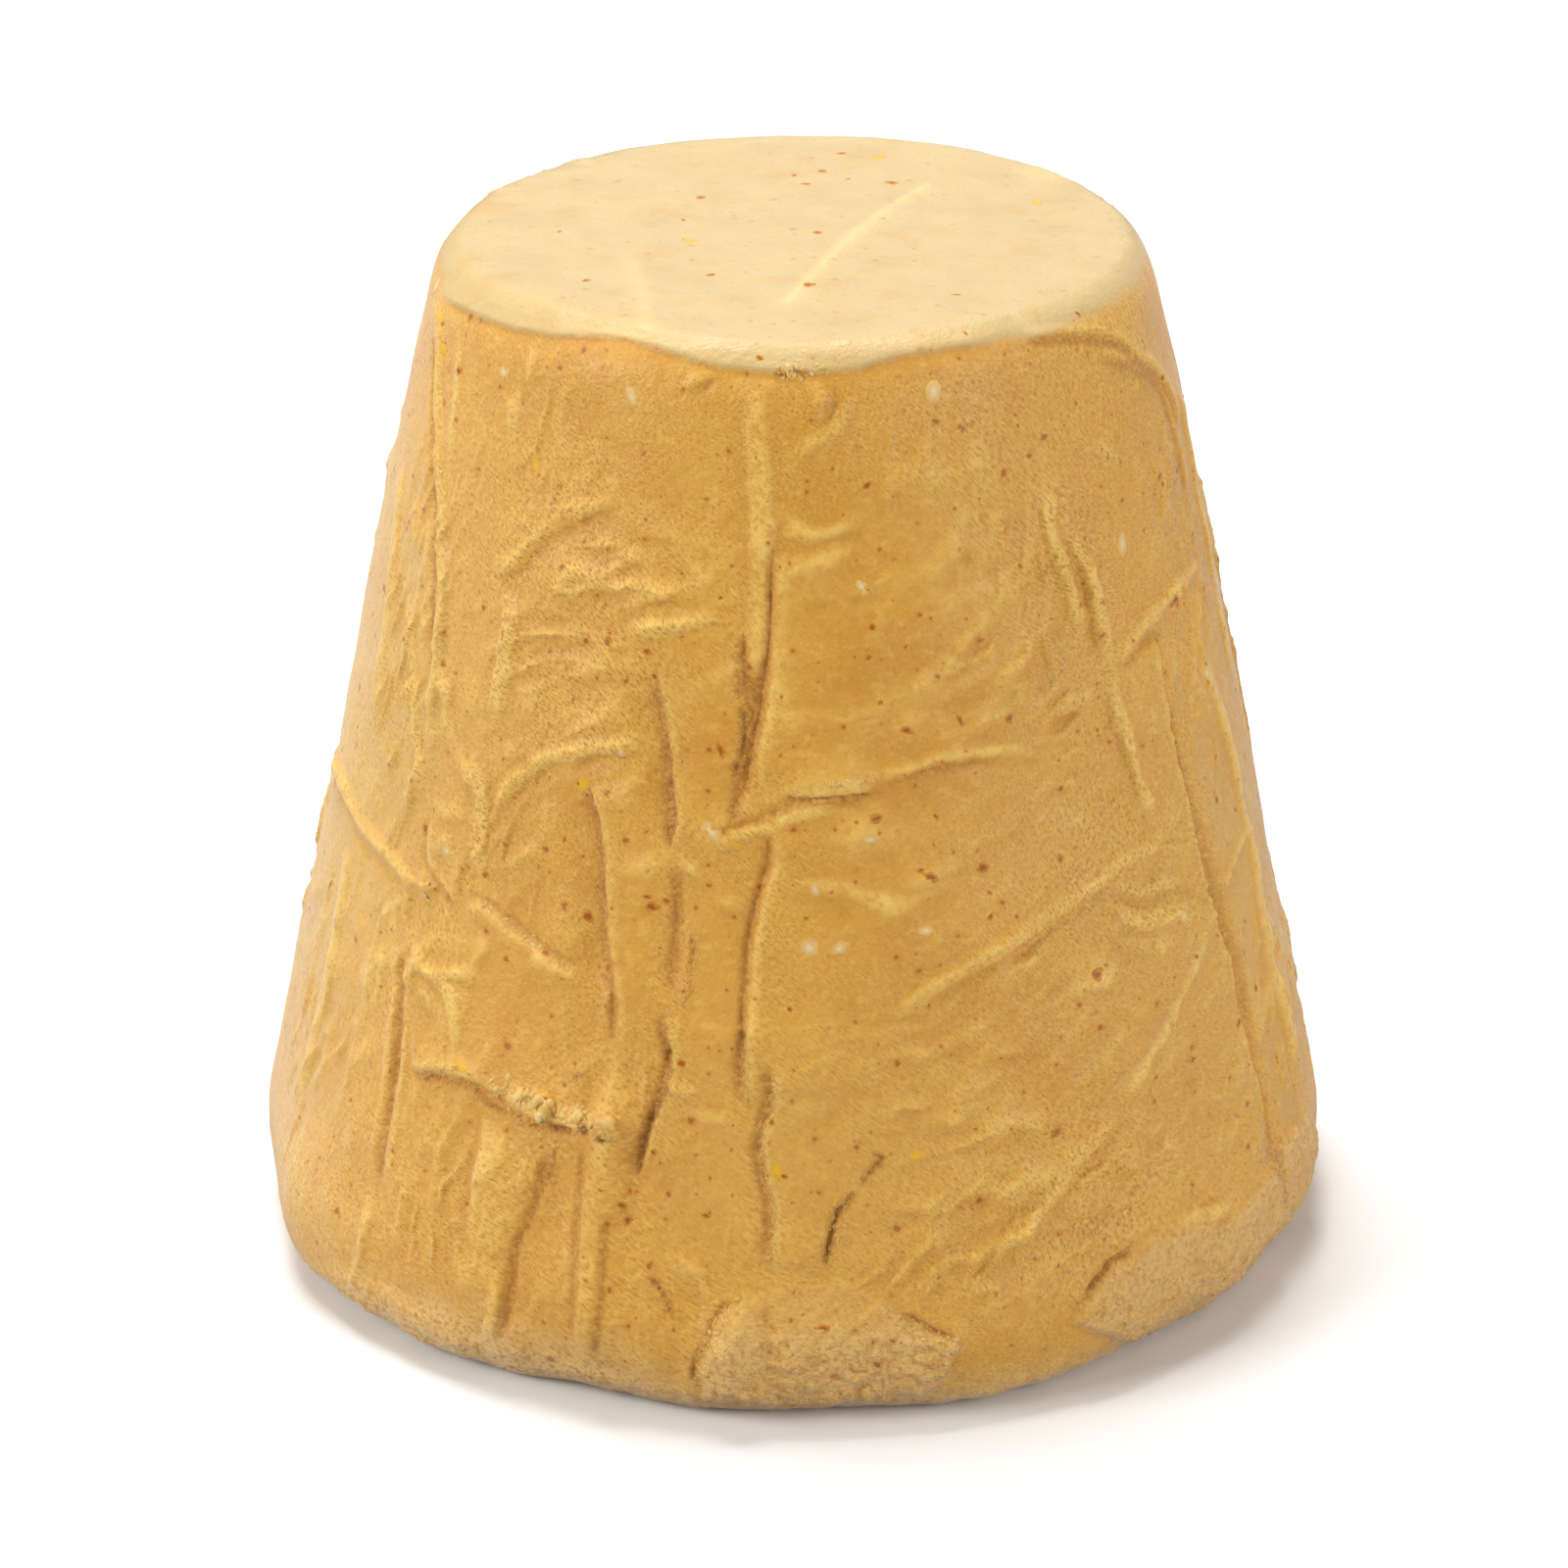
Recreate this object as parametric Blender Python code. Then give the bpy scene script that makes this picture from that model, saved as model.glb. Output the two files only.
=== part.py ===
"""Afuegal pitu cheese: one whole, uncut cheese in the shape of a truncated cone.

The curd was drained and dried in a cloth gathered round it. The cloth's folds have left ridges, grooves and
overlapping pleats all round the side, the knotted end has left a lumpy foot, and the top is a smooth, nearly
flat face with a crease along its front edge. The body is a turned solid whose side is pushed in and out by
those folds.

Places on the side are given as (angle, height): degrees round the cheese, 0 at the front (-Y) and growing
towards the right (+X), and millimetres above the flat foot.
"""
import math

import bmesh
import bpy
import numpy as np
from mathutils import Vector
from mathutils import noise

MM = 0.001

# Body of the cheese, in millimetres
HEIGHT = 89.3
FOOT_RADIUS = 49.0
TOP_RADIUS = 30.1
FOOT_ROUND_UP = 10.7
FOOT_ROUND_IN = 6.7
RIM_ROUND_DOWN = 5.0
RIM_ROUND_IN = 2.1

# Hand-made unevenness: (size of the swellings, how far they reach), in millimetres
SWELLINGS = ((26.0, 0.45), (9.0, 0.20))

# Fineness of the surface before and after it is thinned out where it is smooth
SEGMENTS = 480
SIDE_RINGS = 132
TOP_RINGS = 16
TRIANGLES = 9800
SINK = 0.6

CURD_COLOUR = (0.64, 0.38, 0.10, 1.0)
CURD_ROUGHNESS = 0.55

RIDGE = "ridge"
PLEAT = "pleat"


def clear_scene():
    for item in list(bpy.data.objects):
        bpy.data.objects.remove(item, do_unlink=True)


def side_radius(height):
    """Radius of the plain turned body at a height, with its rounded foot and rim."""
    height = np.asarray(height, float)
    cone = FOOT_RADIUS + (TOP_RADIUS - FOOT_RADIUS) * height / HEIGHT
    foot = np.clip(1 - height / FOOT_ROUND_UP, 0, 1)
    rim = np.clip(1 - (HEIGHT - height) / RIM_ROUND_DOWN, 0, 1)
    cone -= FOOT_ROUND_IN * (1 - np.sqrt(1 - foot ** 2))
    cone -= RIM_ROUND_IN * (1 - np.sqrt(1 - rim ** 2))
    return cone


def profile_points():
    """Half section from the foot's middle out and up the side to the middle of the top."""
    steps = np.linspace(0, math.pi, SIDE_RINGS)
    even = np.linspace(0, 1, SIDE_RINGS)
    heights = HEIGHT * (0.72 * even + 0.28 * (0.5 - 0.5 * np.cos(steps)))
    points = [(0.0, -SINK), (float(side_radius(0)), -SINK)]
    points += [(float(side_radius(height)), float(height)) for height in heights]
    top_edge = points[-1][0]
    points += [(top_edge * (1 - step / TOP_RINGS), HEIGHT) for step in range(1, TOP_RINGS + 1)]
    return points


def turned_body():
    body = bmesh.new()
    ring = [body.verts.new((radius * MM, 0, height * MM)) for radius, height in profile_points()]
    edges = [body.edges.new(pair) for pair in zip(ring, ring[1:])]
    bmesh.ops.spin(body, geom=ring + edges, cent=(0, 0, 0), axis=(0, 0, 1), dvec=(0, 0, 0),
                   angle=2 * math.pi, steps=SEGMENTS, use_merge=True, use_duplicate=False)
    bmesh.ops.remove_doubles(body, verts=body.verts, dist=0.002 * MM)
    bmesh.ops.recalc_face_normals(body, faces=body.faces)
    return body


class Side:
    """The cheese's side as a sheet, on which folds of the cloth push the surface in and out."""

    def __init__(self, places):
        self.angle = np.degrees(np.arctan2(places[:, 0], -places[:, 1]))
        self.height = places[:, 2]
        self.radius = np.maximum(np.hypot(places[:, 0], places[:, 1]), 1.0)
        self.push = np.zeros(len(places))

    def near(self, angle, height):
        """Millimetres to the right and up from a place to every point of the side."""
        turn = (self.angle - angle + 180) % 360 - 180
        return np.radians(turn) * self.radius, self.height - height

    def across(self, route):
        """Signed distance to a smooth line through the route, and how far along it each point lies."""
        line = np.array(route, float)
        for _ in range(2):
            inner = np.repeat(line, 2, axis=0)
            inner[1:-1:2] = 0.75 * line[:-1] + 0.25 * line[1:]
            inner[2:-1:2] = 0.25 * line[:-1] + 0.75 * line[1:]
            line = inner
        best = np.full(len(self.angle), np.inf)
        signed = np.zeros(len(self.angle))
        along = np.zeros(len(self.angle))
        walked = 0.0
        for start, end in zip(line[:-1], line[1:]):
            right, up = self.near(*start)
            run = np.radians(end[0] - start[0]) * self.radius
            rise = end[1] - start[1]
            length = np.sqrt(run ** 2 + rise ** 2) + 1e-9
            part = np.clip((right * run + up * rise) / length ** 2, 0, 1)
            gap = np.hypot(right - part * run, up - part * rise)
            closer = gap < best
            turned = run * up - rise * right
            best[closer] = gap[closer]
            signed[closer] = np.copysign(gap, turned)[closer]
            along[closer] = (walked + part * length)[closer]
            walked += float(np.median(length))
        fade = np.clip(np.minimum(along, walked - along) / (0.22 * walked), 0, 1)
        return signed, fade * fade * (3 - 2 * fade)

    def fold(self, kind, route, width, rise, reach=8.0):
        """Press one fold along a route that runs downwards or to the right.

        A ridge stands up along the route, or sinks in where its rise is negative. A pleat lifts the side to
        the right of a downward route, or above a rightward one, and sinks a crease at its foot; a negative
        rise lifts the other side instead. Its reach is how far the lifted side takes to come down again.
        """
        signed, fade = self.across(route)
        half = width / 2
        if kind == PLEAT:
            signed = signed * math.copysign(1, rise)
            lifted = 0.5 + 0.5 * np.tanh(signed / half)
            shape = lifted * np.exp(-np.maximum(signed, 0) / reach)
            shape -= 0.45 * np.exp(-((signed + half) / half) ** 2)
            self.push += abs(rise) * shape * fade
        else:
            self.push += rise * np.exp(-(signed / half) ** 2) * fade

    def lump(self, angle, height, wide, high, rise, edge=0.35):
        """Raise a flattish lump about a place, with a soft edge; a negative rise makes a hollow."""
        right, up = self.near(angle, height)
        inside = 1 - np.hypot(right / (wide / 2), up / (high / 2))
        rounded = np.clip(inside / edge, 0, 1)
        self.push += rise * rounded * rounded * (3 - 2 * rounded)


def shape_foot(side):
    """Swellings of the foot, the pale lumps of curd pressed out round the knot, and the notch between."""
    side.lump(-62, 2, 30, 46, 1.6, edge=1.0)
    side.lump(-40, 0, 22, 30, 0.7, edge=1.0)
    side.lump(-22, 0, 18, 26, -0.8, edge=1.0)
    side.lump(20, 0, 22, 30, 0.9, edge=1.0)
    side.lump(44, 0, 26, 26, -1.1, edge=1.0)
    side.lump(64, 3, 22, 30, -0.8, edge=1.0)
    side.lump(3, 5, 25, 17, 0.9, edge=0.4)
    side.lump(48, 4, 27, 14, 0.9, edge=0.4)
    side.lump(-46, 3, 24, 7, 0.5, edge=0.5)
    side.fold(RIDGE, ((-3, 13), (-3, 8), (-3, 2)), 1.6, -0.4)
    side.fold(RIDGE, ((8, 12), (11, 10), (15, 7), (18, 6)), 1.6, -0.8)


def press_front(side):
    """The seam where the cloth's edges met, the overlapping pleats beside it and the creases across them."""
    side.fold(RIDGE, ((-5, 87), (-5, 79), (-5, 71), (-6, 65)), 1.7, 0.75)
    side.fold(RIDGE, ((-7, 69), (-6, 63), (-7, 57), (-9, 50)), 2.0, -1.0)
    side.fold(PLEAT, ((-2, 74), (-3, 68), (-4, 61), (-5, 52)), 1.8, 1.2, reach=14)
    side.fold(PLEAT, ((-3, 51), (-3, 46), (-4, 40), (-5, 33), (-6, 26)), 1.8, 1.1, reach=12)
    side.fold(PLEAT, ((-3, 31), (-2, 28), (-4, 25), (-3, 19), (-3, 13)), 1.6, 0.8, reach=9)
    side.fold(RIDGE, ((-22, 66), (-20, 68), (-9, 69)), 2.0, 0.55)
    side.fold(RIDGE, ((-18, 65), (-16, 60), (-15, 52), (-14, 45), (-14, 38), (-15, 34), (-14, 31), (-16, 26),
                      (-18, 20)), 1.9, -1.2)
    side.fold(PLEAT, ((-26, 54), (-24, 49), (-22, 42), (-20, 36), (-21, 30), (-24, 25)), 1.9, 1.3, reach=6)
    side.fold(PLEAT, ((-42, 48), (-38, 52), (-33, 55), (-26, 56), (-18, 58)), 1.9, 0.9, reach=7)
    side.fold(RIDGE, ((-23, 46), (-19, 47), (-15, 49), (-10, 46)), 1.5, 0.5)
    side.fold(RIDGE, ((-11, 49), (-6, 51), (-3, 52), (1, 54)), 1.6, 0.8)
    side.fold(RIDGE, ((-2, 54), (8, 55), (14, 55), (21, 56), (30, 56), (36, 56), (43, 58)), 1.8, 0.7)
    side.fold(RIDGE, ((-1, 53), (3, 53), (8, 54)), 1.2, -0.6)
    side.fold(RIDGE, ((-1, 46), (6, 46), (13, 45)), 1.9, 0.4)
    side.fold(RIDGE, ((-14, 29), (-10, 28), (-5, 26)), 1.8, 0.4)
    side.fold(RIDGE, ((4, 87), (7, 84), (5, 82), (0, 81)), 1.9, 0.5)
    side.fold(RIDGE, ((-3, 76), (3, 75), (8, 75), (12, 77)), 2.4, 0.35)
    side.fold(RIDGE, ((10, 23), (6, 20), (4, 17), (3, 13)), 1.4, -0.7)


def press_left(side):
    """The gathers down the left, the flap of curd with its crumbled lower edge and the soft folds below."""
    side.fold(RIDGE, ((-70, 85), (-62, 75), (-57, 65), (-54, 56), (-53, 48)), 1.8, 0.8)
    side.fold(RIDGE, ((-67, 85), (-60, 76), (-53, 65)), 1.6, 0.45)
    side.fold(RIDGE, ((-46, 67), (-41, 71), (-35, 74), (-27, 76)), 3.0, 0.6)
    side.fold(RIDGE, ((-43, 69), (-42, 64), (-42, 59), (-43, 54)), 2.0, 0.4)
    side.fold(RIDGE, ((-49, 56), (-45, 52), (-41, 49)), 1.8, 0.45)
    side.fold(PLEAT, ((-57, 57), (-54, 48), (-51, 43), (-45, 40), (-38, 40)), 1.7, -0.7, reach=5)
    side.fold(RIDGE, ((-86, 45), (-72, 43), (-62, 42), (-51, 40)), 2.0, 0.6)
    side.fold(RIDGE, ((-52, 38), (-50, 35), (-46, 34), (-42, 32), (-41, 28)), 1.8, 0.6)
    side.fold(PLEAT, ((-52, 36), (-51, 27), (-51, 19), (-52, 11), (-54, 3)), 1.8, 0.9, reach=6)
    side.fold(PLEAT, ((-48, 25), (-41, 26), (-36, 26), (-31, 24), (-23, 25)), 1.6, 1.2, reach=6)
    side.fold(RIDGE, ((-37, 24), (-37, 16), (-39, 8)), 3.0, -0.6)
    side.fold(PLEAT, ((-27, 24), (-28, 18), (-31, 12), (-33, 4)), 2.4, 1.0, reach=7)
    side.fold(RIDGE, ((-23, 23), (-23, 14), (-22, 3)), 2.6, 0.8)
    side.fold(RIDGE, ((-70, 39), (-68, 28), (-70, 14)), 2.4, 0.5)
    side.fold(RIDGE, ((-76, 72), (-70, 60), (-69, 50)), 2.4, 0.45)
    side.fold(RIDGE, ((-60, 26), (-59, 18), (-61, 6)), 2.2, 0.5)


def press_right(side):
    """The long diagonal creases, the doubled ridge they cross and the deep pleat near the right edge."""
    side.fold(RIDGE, ((41, 73), (43, 66), (44, 60), (45, 56), (47, 51), (49, 45)), 1.9, 0.7)
    side.fold(RIDGE, ((37, 78), (37, 72), (39, 67)), 2.0, 0.4)
    side.fold(RIDGE, ((45, 61), (52, 62), (62, 64), (78, 63)), 2.0, 0.5)
    side.fold(RIDGE, ((10, 35), (20, 39), (30, 41), (39, 43), (51, 45)), 2.2, 0.7)
    side.fold(RIDGE, ((24, 17), (29, 19), (35, 22), (45, 28), (57, 35)), 1.9, 0.6)
    side.fold(PLEAT, ((55, 63), (56, 54), (59, 44), (61, 34), (63, 24), (64, 13), (65, 3)), 1.9, -1.2,
              reach=8)
    side.fold(PLEAT, ((45, 88), (53, 87), (60, 85), (67, 82), (75, 77)), 1.8, 0.7, reach=4)
    side.fold(RIDGE, ((12, 70), (21, 73), (26, 76)), 2.6, 0.3)
    side.fold(RIDGE, ((16, 60), (26, 62), (35, 64)), 2.8, 0.35)
    side.fold(RIDGE, ((18, 24), (28, 25), (37, 26)), 2.6, 0.35)
    side.fold(RIDGE, ((70, 56), (74, 44), (73, 30), (76, 16)), 2.4, 0.6)
    side.fold(RIDGE, ((80, 78), (84, 66), (82, 50)), 2.2, 0.55)


def press_back(side):
    """The folds round the back, of the same kinds and sizes as those in front."""
    side.fold(PLEAT, ((97, 80), (99, 62), (96, 44), (100, 25), (98, 6)), 1.9, 1.0, reach=8)
    side.fold(RIDGE, ((112, 72), (115, 52), (112, 36), (116, 15)), 2.0, -0.9)
    side.fold(RIDGE, ((102, 52), (118, 56), (133, 54), (149, 60)), 1.9, 0.7)
    side.fold(PLEAT, ((131, 84), (129, 66), (133, 48), (130, 30), (133, 12)), 1.9, 1.1, reach=9)
    side.fold(RIDGE, ((137, 36), (150, 29), (163, 31), (177, 24)), 2.0, 0.6)
    side.fold(RIDGE, ((163, 87), (166, 70), (163, 52), (168, 36), (165, 14)), 2.0, -1.1)
    side.fold(RIDGE, ((147, 77), (163, 73), (178, 76), (193, 70)), 2.2, 0.5)
    side.fold(PLEAT, ((185, 62), (187, 44), (183, 28), (188, 5)), 2.0, -1.1, reach=8)
    side.fold(RIDGE, ((189, 49), (205, 44), (222, 50)), 1.9, 0.7)
    side.fold(RIDGE, ((208, 83), (206, 64), (211, 46), (207, 22)), 1.9, -0.9)
    side.fold(RIDGE, ((213, 32), (228, 24), (244, 27)), 2.0, 0.6)
    side.fold(PLEAT, ((232, 80), (234, 58), (229, 40), (234, 12)), 1.9, 1.0, reach=7)
    side.fold(RIDGE, ((236, 66), (250, 59), (264, 62)), 1.9, 0.6)
    side.fold(RIDGE, ((251, 50), (249, 30), (254, 8)), 2.0, -0.7)
    side.lump(120, 4, 30, 14, 0.8, edge=0.4)
    side.lump(176, 3, 34, 12, 0.7, edge=0.4)
    side.lump(236, 4, 26, 15, 0.8, edge=0.4)


def crease_rim(side):
    """The crease along the front edge of the top, where the gathered cloth was folded over the face."""
    side.fold(PLEAT, ((-60, 86), (-45, 87), (-32, 88), (-20, 88), (-10, 87), (0, 87), (10, 87), (20, 88),
                      (37, 88), (48, 87), (58, 86)), 1.1, 0.5, reach=3)


def swell(places):
    """Gentle hand-made unevenness over the whole side."""
    total = np.zeros(len(places))
    for size, reach in SWELLINGS:
        total += [reach * noise.noise(Vector(place) / size) for place in places]
    return total


def press_folds(body):
    """Move the turned body's points in and out by the folds, level with the floor."""
    places = np.array([vertex.co for vertex in body.verts]) / MM
    side = Side(places)
    shape_foot(side)
    press_front(side)
    press_left(side)
    press_right(side)
    press_back(side)
    crease_rim(side)
    side.push += swell(places)
    face_edge = side_radius(HEIGHT)
    on_top = places[:, 2] > HEIGHT - 0.01
    middle = np.hypot(places[:, 0], places[:, 1])
    fading = np.where(on_top, np.clip(middle / face_edge, 0, 1) ** 6, 1.0)
    below = places[:, 2] < 0
    fading[below] = np.where(middle[below] > 1, 1.0, 0.0)
    factor = 1 + side.push * fading / np.maximum(middle, 1.0)
    dome = 0.35 * noise_top(places)
    for vertex, scale, lift, top in zip(body.verts, factor, dome, on_top):
        vertex.co.x *= scale
        vertex.co.y *= scale
        if top:
            vertex.co.z += lift * MM


def noise_top(places):
    """Slight dips and swellings of the top face."""
    return np.array([noise.noise(Vector((place[0] + 70, place[1], 0)) / 22) for place in places])


def thin_out(body, name):
    """Thin the fine mesh to the triangle budget, which leaves them crowded along the folds."""
    fine = bpy.data.meshes.new(name + "_fine")
    body.to_mesh(fine)
    body.free()
    fine_object = bpy.data.objects.new(name + "_fine", fine)
    bpy.context.scene.collection.objects.link(fine_object)
    thinner = fine_object.modifiers.new("thin_out", 'DECIMATE')
    thinner.decimate_type = 'COLLAPSE'
    fine.calc_loop_triangles()
    thinner.ratio = TRIANGLES / len(fine.loop_triangles)
    evaluated = fine_object.evaluated_get(bpy.context.evaluated_depsgraph_get())
    thinned = bpy.data.meshes.new_from_object(evaluated)
    bpy.data.objects.remove(fine_object, do_unlink=True)
    bpy.data.meshes.remove(fine)
    return thinned


def stand_on_floor(mesh):
    """Cut the sunken foot off level with the floor, and close it with one flat face."""
    body = bmesh.new()
    body.from_mesh(mesh)
    everything = body.verts[:] + body.edges[:] + body.faces[:]
    cut = bmesh.ops.bisect_plane(body, geom=everything, dist=0.0, plane_co=(0, 0, 0), plane_no=(0, 0, 1),
                                 clear_inner=True)
    rim = [item for item in cut["geom_cut"] if isinstance(item, bmesh.types.BMEdge)]
    bmesh.ops.contextual_create(body, geom=rim)
    bmesh.ops.recalc_face_normals(body, faces=body.faces)
    body.to_mesh(mesh)
    body.free()


def curd_material():
    curd = bpy.data.materials.new("curd")
    curd.use_nodes = True
    shader = curd.node_tree.nodes["Principled BSDF"]
    shader.inputs["Base Color"].default_value = CURD_COLOUR
    shader.inputs["Roughness"].default_value = CURD_ROUGHNESS
    shader.inputs["Metallic"].default_value = 0.0
    return curd


def make_cheese():
    body = turned_body()
    press_folds(body)
    mesh = thin_out(body, "cheese")
    stand_on_floor(mesh)
    mesh.name = "cheese"
    mesh.shade_smooth()
    mesh.set_sharp_from_angle(angle=math.radians(50))
    mesh.materials.append(curd_material())
    cheese = bpy.data.objects.new("cheese", mesh)
    collection = bpy.data.collections.new("afuegal_pitu_cheese")
    bpy.context.scene.collection.children.link(collection)
    collection.objects.link(cheese)
    return cheese


clear_scene()
make_cheese()
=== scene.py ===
import math
import random

import bmesh
import bpy
import numpy as np
from mathutils import Matrix
from mathutils import Vector
from mathutils import noise
from mathutils.bvhtree import BVHTree


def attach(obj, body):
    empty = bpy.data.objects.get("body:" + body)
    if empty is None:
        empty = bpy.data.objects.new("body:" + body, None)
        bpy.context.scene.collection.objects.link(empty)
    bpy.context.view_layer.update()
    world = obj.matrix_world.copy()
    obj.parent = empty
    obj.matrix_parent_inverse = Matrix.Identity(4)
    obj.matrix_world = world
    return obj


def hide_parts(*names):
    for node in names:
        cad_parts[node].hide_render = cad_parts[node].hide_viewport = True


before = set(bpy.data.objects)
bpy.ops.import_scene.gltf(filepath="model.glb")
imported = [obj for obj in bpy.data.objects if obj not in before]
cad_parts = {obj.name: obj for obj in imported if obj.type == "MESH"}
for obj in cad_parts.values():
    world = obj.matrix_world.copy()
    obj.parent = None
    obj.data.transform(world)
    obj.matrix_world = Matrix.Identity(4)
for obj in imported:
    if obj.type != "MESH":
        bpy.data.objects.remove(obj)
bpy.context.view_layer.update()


# The body of the cheese
# Curd coloured with paprika, ladled into a cloth and hung up to drain, then stood on its knotted end to
# dry. The cone is a turned form. The cloth's folds are pressed into it below.
MM = 0.001
HEIGHT = 89.3
FOOT_RADIUS = 49.0
TOP_RADIUS = 30.1
FOOT_ROUND_UP = 10.7
FOOT_ROUND_IN = 6.7
RIM_ROUND_DOWN = 5.0
RIM_ROUND_IN = 2.1
TURN_STEPS = 400
SIDE_STEPS = 122
TOP_STEPS = 12
FINE_LEVELS = 2
BODY_TRIANGLES = 190000


def side_radius(height):
    """Radius of the plain cone at a height, with its rounded foot and rim, in millimetres."""
    height = np.asarray(height, float)
    cone = FOOT_RADIUS + (TOP_RADIUS - FOOT_RADIUS) * height / HEIGHT
    foot = np.clip(1 - height / FOOT_ROUND_UP, 0, 1)
    rim = np.clip(1 - (HEIGHT - height) / RIM_ROUND_DOWN, 0, 1)
    cone -= FOOT_ROUND_IN * (1 - np.sqrt(1 - foot ** 2))
    cone -= RIM_ROUND_IN * (1 - np.sqrt(1 - rim ** 2))
    return cone


even = np.linspace(0, 1, SIDE_STEPS)
heights = HEIGHT * (0.72 * even + 0.28 * (0.5 - 0.5 * np.cos(math.pi * even)))
section = [(0.0, 0.0)] + [(float(side_radius(height)), float(height)) for height in heights]
section += [(section[-1][0] * (1 - step / TOP_STEPS), HEIGHT) for step in range(1, TOP_STEPS + 1)]

turning = bmesh.new()
ring = [turning.verts.new((radius * MM, 0, height * MM)) for radius, height in section]
outline = [turning.edges.new(pair) for pair in zip(ring, ring[1:])]
bmesh.ops.spin(turning, geom=ring + outline, cent=(0, 0, 0), axis=(0, 0, 1), dvec=(0, 0, 0),
               angle=2 * math.pi, steps=TURN_STEPS, use_merge=True, use_duplicate=False)
bmesh.ops.remove_doubles(turning, verts=turning.verts, dist=0.001 * MM)
bmesh.ops.recalc_face_normals(turning, faces=turning.faces)
turned = bpy.data.meshes.new("turned_cheese")
turning.to_mesh(turned)
turning.free()


def settled(obj, name):
    """A new mesh with what the object's modifiers make of it; the object itself is removed."""
    mesh = bpy.data.meshes.new_from_object(obj.evaluated_get(bpy.context.evaluated_depsgraph_get()))
    mesh.name = name
    bpy.data.objects.remove(obj, do_unlink=True)
    return mesh


def shown(mesh, name):
    obj = bpy.data.objects.new(name, mesh)
    bpy.context.scene.collection.objects.link(obj)
    return obj


finer = shown(turned, "turned_cheese")
levels = finer.modifiers.new("finer", 'SUBSURF')
levels.subdivision_type = 'SIMPLE'
levels.levels = FINE_LEVELS
levels.render_levels = FINE_LEVELS
body = settled(finer, "cheese_body")

places = np.empty(len(body.vertices) * 3, np.float32)
body.vertices.foreach_get("co", places)
places = places.reshape(-1, 3).astype(float) / MM
middle = np.hypot(places[:, 0], places[:, 1])


def lumps(size, offset=0.0):
    """Smooth unevenness between -1 and 1 at every point, with swellings of a size in millimetres."""
    shift = Vector((offset, 0.7 * offset, 0.3 * offset))
    return np.array([noise.noise(Vector(place) / size + shift) for place in places])


# Folds of the cloth, pressed into the side
# Welts stand where curd was squeezed into a fold, pleats where one layer of cloth lay over the next, and
# splits where the crust opened. A fold that the photograph shows runs through named places in its 1600-pixel
# frame; one that it doesn't show runs through degrees round from the front and millimetres above the foot.
PHOTO_SIDE = 1600
VIEW_PLACE = (-0.00086, -0.46397, 0.23872)
VIEW_TURN = math.radians(90 - 23.356)
VIEW_LENS = 131.6
VIEW_SENSOR = 36.0
SIDE_ONLY = 26.0
BROAD_SWELL = 0.45
SMALL_SWELL = 0.20
angles = np.degrees(np.arctan2(places[:, 0], -places[:, 1]))
levels_up = places[:, 2]
radii = np.maximum(middle, 1.0)
push = BROAD_SWELL * lumps(26.0) + SMALL_SWELL * lumps(9.0)
# Painted highlights on the crests of folds, and painted shade in their valleys and creases.
painted_light = np.zeros(len(places))
# Brown darkening in creases, grooves, splits and holes, partly dirt and partly painted shade.
dirt_and_shade = np.zeros(len(places))
crumble = np.zeros(len(places))
woven = np.zeros(len(places))
bloom = np.zeros(len(places))
wander = lumps(2.6, 11) * 0.7 + lumps(1.1, 23) * 0.5
uneven = lumps(5.5, 37)
girth = lumps(3.3, 91)
softness = lumps(8.0, 53)
face_edge = float(side_radius(HEIGHT))
on_top = levels_up > HEIGHT - 0.01
fading = np.where(on_top, np.clip(middle / face_edge, 0, 1) ** 6, 1.0)


def rounded(value):
    value = np.clip(value, 0, 1)
    return value * value * (3 - 2 * value)


def turned_from(angle):
    return (angles - angle + 180) % 360 - 180


def patch(angle, height, wide, high, edge=0.35, ragged=0.0, lean=0.0):
    """How far inside a round patch each point lies, from 0 outside it to 1 past its soft edge."""
    up = levels_up - height
    right = np.radians(turned_from(angle)) * radii - lean * up
    outside = np.hypot(right / (wide / 2), up / (high / 2)) + ragged * wander
    return np.where(middle > SIDE_ONLY, rounded((1 - outside) / edge), 0.0)


def pressed_places():
    """Every point, moved out from the middle line by its push."""
    moved = places.copy()
    moved[:, :2] *= (1 + push * fading / np.maximum(middle, 1.0))[:, None]
    return moved


# Foot: swellings of the knotted end, pale where the curd has dried
push += 1.6 * patch(-62, 2, 30, 46, edge=1.0)
push += 0.7 * patch(-40, 0, 22, 30, edge=1.0)
push -= 0.8 * patch(-22, 0, 18, 26, edge=1.0)
push += 0.9 * patch(20, 0, 22, 30, edge=1.0)
push -= 1.1 * patch(44, 0, 26, 26, edge=1.0)
push -= 0.8 * patch(64, 3, 22, 30, edge=1.0)
push += 0.5 * patch(-46, 3, 24, 7, edge=0.5)

# The swollen body, which the photograph's places are seen on
body.vertices.foreach_set("co", (pressed_places() * MM).astype(np.float32).ravel())
swollen = shown(body, "swollen_body")
bpy.context.view_layer.update()
surface = BVHTree.FromObject(swollen, bpy.context.evaluated_depsgraph_get())
bpy.data.objects.remove(swollen, do_unlink=True)
TO_WORLD = Matrix.Rotation(VIEW_TURN, 3, 'X')


def sight(across, down):
    """The way from the camera through a place in the photograph."""
    return TO_WORLD @ Vector((across / PHOTO_SIDE - 0.5, 0.5 - down / PHOTO_SIDE, -VIEW_LENS / VIEW_SENSOR))


def on_cheese(route):
    """A route of places across and down the photograph, as (degrees round, millimetres up) on the cheese."""
    found = []
    for across, down in zip(route[::2], route[1::2]):
        hit = surface.ray_cast(Vector(VIEW_PLACE), sight(across, down).normalized())[0]
        if hit is not None:
            found.append((math.degrees(math.atan2(hit.x, -hit.y)), hit.z / MM))
    return found


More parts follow.
